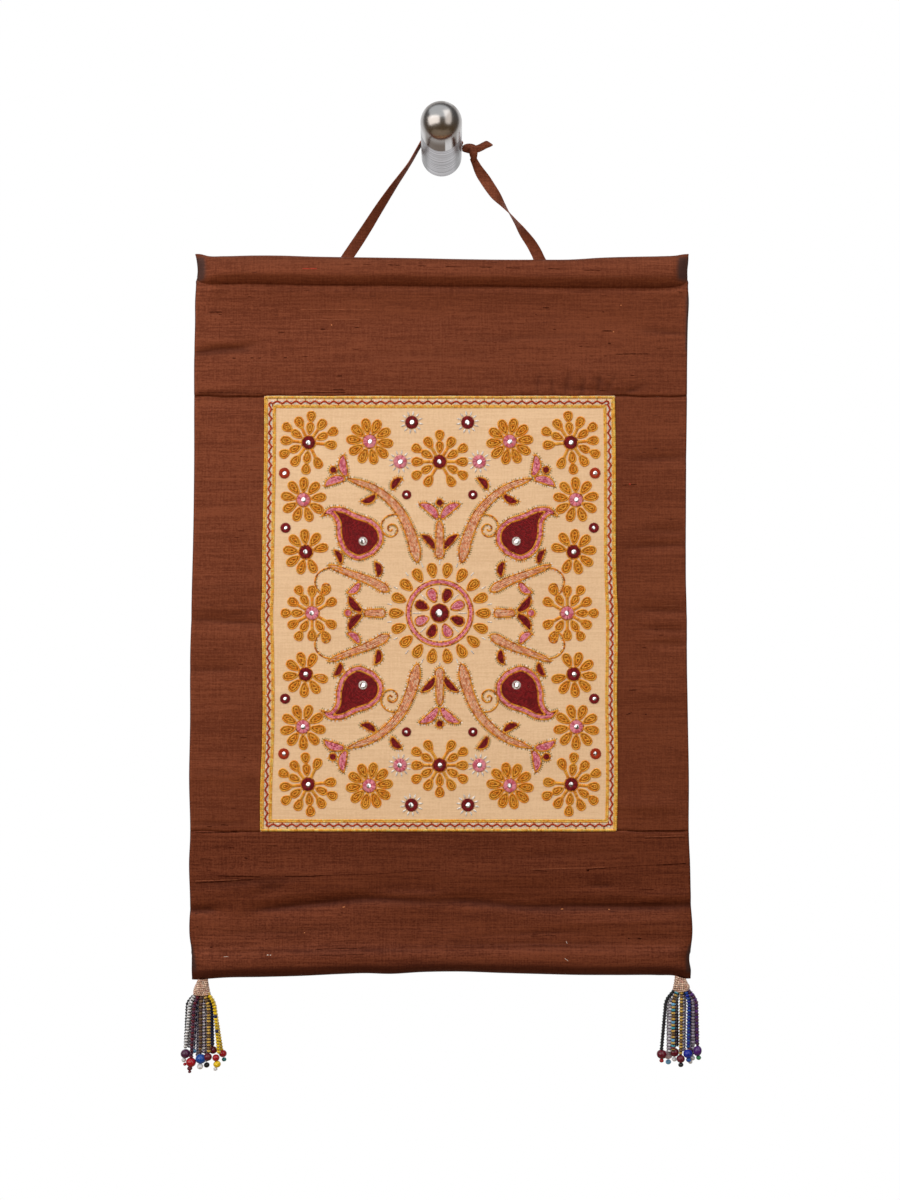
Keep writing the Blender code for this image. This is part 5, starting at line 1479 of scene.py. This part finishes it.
def ribbon_over_knob():
    """Stops of the ribbon over the top of the knob, from its left side to its right."""
    clearance, half_ribbon, setback = 0.35, 0.5, 8.0
    away = KNOB_RADIUS / MM + clearance + half_ribbon
    middle = setback * math.tan(KNOB_RISE)
    stops = []
    for step in range(RING_STEPS + 1):
        angle = math.radians(RING_START + (RING_END - RING_START) * step / RING_STEPS)
        stops.append(Stop(away * math.cos(angle), -setback,
                          middle + away / math.cos(KNOB_RISE) * math.sin(angle), 90.0, 8.8))
    return tuple(stops)


def ribbon_piece(name, stops, steps, node):
    """A thin strip along its stops, a little cupped and rippled, with rounded long edges."""
    piece, u, v = grid_piece(name, steps, 10)
    centres = np.array([stop[:3] for stop in stops]) * MM
    run = np.concatenate(([0.0], np.cumsum(np.linalg.norm(np.diff(centres, axis=0), axis=1))))
    at, nudge = u * run[-1], 0.4 * MM
    centre, ahead, behind = (
        np.stack([eased(run, centres[:, axis], spots) for axis in range(3)], 1)
        for spots in (at, np.minimum(at + nudge, run[-1]), np.maximum(at - nudge, 0.0)))
    heading = (ahead - behind) / np.linalg.norm(ahead - behind, axis=1)[:, None]
    turn = np.radians(eased(run, [stop.turn for stop in stops], at))[:, None]
    width = eased(run, [stop.wide for stop in stops], at)[:, None] * MM
    flat = np.cross(heading, (0.0, 1.0, 0.0))
    flat /= np.linalg.norm(flat, axis=1)[:, None]
    wide = flat * np.cos(turn) + np.array(knob_axis) * np.sin(turn)
    wide -= heading * np.sum(wide * heading, axis=1)[:, None]
    wide /= np.linalg.norm(wide, axis=1)[:, None]
    thick = np.cross(heading, wide)
    off = v[:, None] - 0.5
    ripple = 0.16 * np.sin(at * 230.0) + 0.12 * np.sin(at * 410.0 + 2.0)
    cup = 0.5 * (0.25 - off ** 2) + 0.35 * ripple[:, None] * off
    places = centre + wide * off * width + thick * cup * 1.6 * MM
    set_places(piece, places[:, 0], places[:, 1], places[:, 2])
    wall = piece.modifiers.new("thickness", "SOLIDIFY")
    wall.thickness = RIBBON_THICKNESS
    wall.offset = 0.0
    bpy.ops.object.modifier_apply(modifier="thickness")
    piece.data.materials.append(ribbon_silk)
    bpy.ops.object.shade_smooth_by_angle(angle=math.radians(50.0))
    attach(piece, "root")
    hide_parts(node)
    piece.select_set(False)
    return piece


left_ribbon = ribbon_piece("left_ribbon", LEFT_RIBBON + ribbon_over_knob() + LEFT_RIBBON_END,
                           220, "strap_left")
right_ribbon = ribbon_piece("right_ribbon", RIGHT_RIBBON, 170, "strap_right")


# The tie beside the knob: the ribbon folded flat into a small lobe, its short cut end pointing up to
# the right, and the turn of ribbon that holds both and leads down. Each is pressed, creased silk.
Pleat = namedtuple("Pleat", "across depth height wide thick")
LOBE = [Pleat(*row) for row in (
    (16, -8.8, 3.5, 5.2, 2.6), (18.4, -9, 3.8, 6.6, 3.2), (22, -9.2, 3.6, 7.8, 3.8),
    (25.8, -9.4, 3.3, 7.2, 3.4), (28.6, -9.4, 2.8, 5, 2.4),
)]
TIE_END = [Pleat(*row) for row in (
    (23.5, -10.6, 2.9, 6.2, 2.4), (28.4, -10.8, 3, 6.6, 2.4), (32, -10.6, 4.6, 6.6, 2),
    (35.4, -10.4, 6.3, 6.2, 1.8), (38.2, -10.4, 6.2, 3.9, 1.6), (40.6, -10.4, 6, 1.2, 1.2),
)]
TURN = [Pleat(*row) for row in (
    (24.6, -10.6, 6.6, 4.6, 2.2), (25, -11.4, 4.2, 6.2, 2.8), (25, -11.6, 1.2, 6.8, 3),
    (25.2, -11.4, -2, 6.4, 2.8), (25.4, -10.6, -5, 5.2, 2.4), (24.8, -9.8, -7.6, 2.8, 1.8),
)]


def folded_piece(name, table, upright, blunt):
    """A flat closed roll of cloth along its table of middles, widths and thicknesses. Its width
    lies across where it is upright, and up and down where it isn't."""
    bpy.ops.mesh.primitive_uv_sphere_add(segments=48, ring_count=30, radius=1.0)
    piece = bpy.context.object
    piece.name = name
    places = np.array([vertex.co for vertex in piece.data.vertices])
    share = np.arccos(np.clip(places[:, 2], -1.0, 1.0)) / math.pi
    around = np.arctan2(places[:, 1], places[:, 0])
    around[np.hypot(places[:, 0], places[:, 1]) < 1e-6] = 0.0
    knots = np.linspace(0.0, 1.0, len(table))
    across, depth, height, wide, thick = (eased(knots, column(table, label), share)
                                          for label in ("across", "depth", "height", "wide", "thick"))
    end = np.sin(math.pi * share) ** blunt
    out = 0.5 * wide * end * np.sign(np.cos(around)) * np.abs(np.cos(around)) ** 0.75
    front = 0.5 * thick * end * np.sign(np.sin(around)) * np.abs(np.sin(around)) ** 0.8
    pleat = np.sin(out / (0.95 * MM) + 3.0 * share) + 0.5 * np.sin(out / (0.5 * MM) - 5.0 * share)
    front *= 1.0 + 0.16 * pleat
    if upright:
        across = across + out
    else:
        height = height + out
    set_places(piece, across, depth + front, height)
    return piece


lobe = folded_piece("ribbon_tie", LOBE, upright=False, blunt=0.16)
tail = folded_piece("ribbon_tie_end", TIE_END, upright=False, blunt=0.16)
turn = folded_piece("ribbon_tie_turn", TURN, upright=True, blunt=0.30)
for part in (lobe, tail, turn):
    part.select_set(True)
bpy.context.view_layer.objects.active = lobe
bpy.ops.object.join()
tie = bpy.context.object
face_outwards()
bpy.ops.object.shade_smooth()
tie.data.materials.append(ribbon_silk)
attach(tie, "root")
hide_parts("strap_knot")
tie.select_set(False)
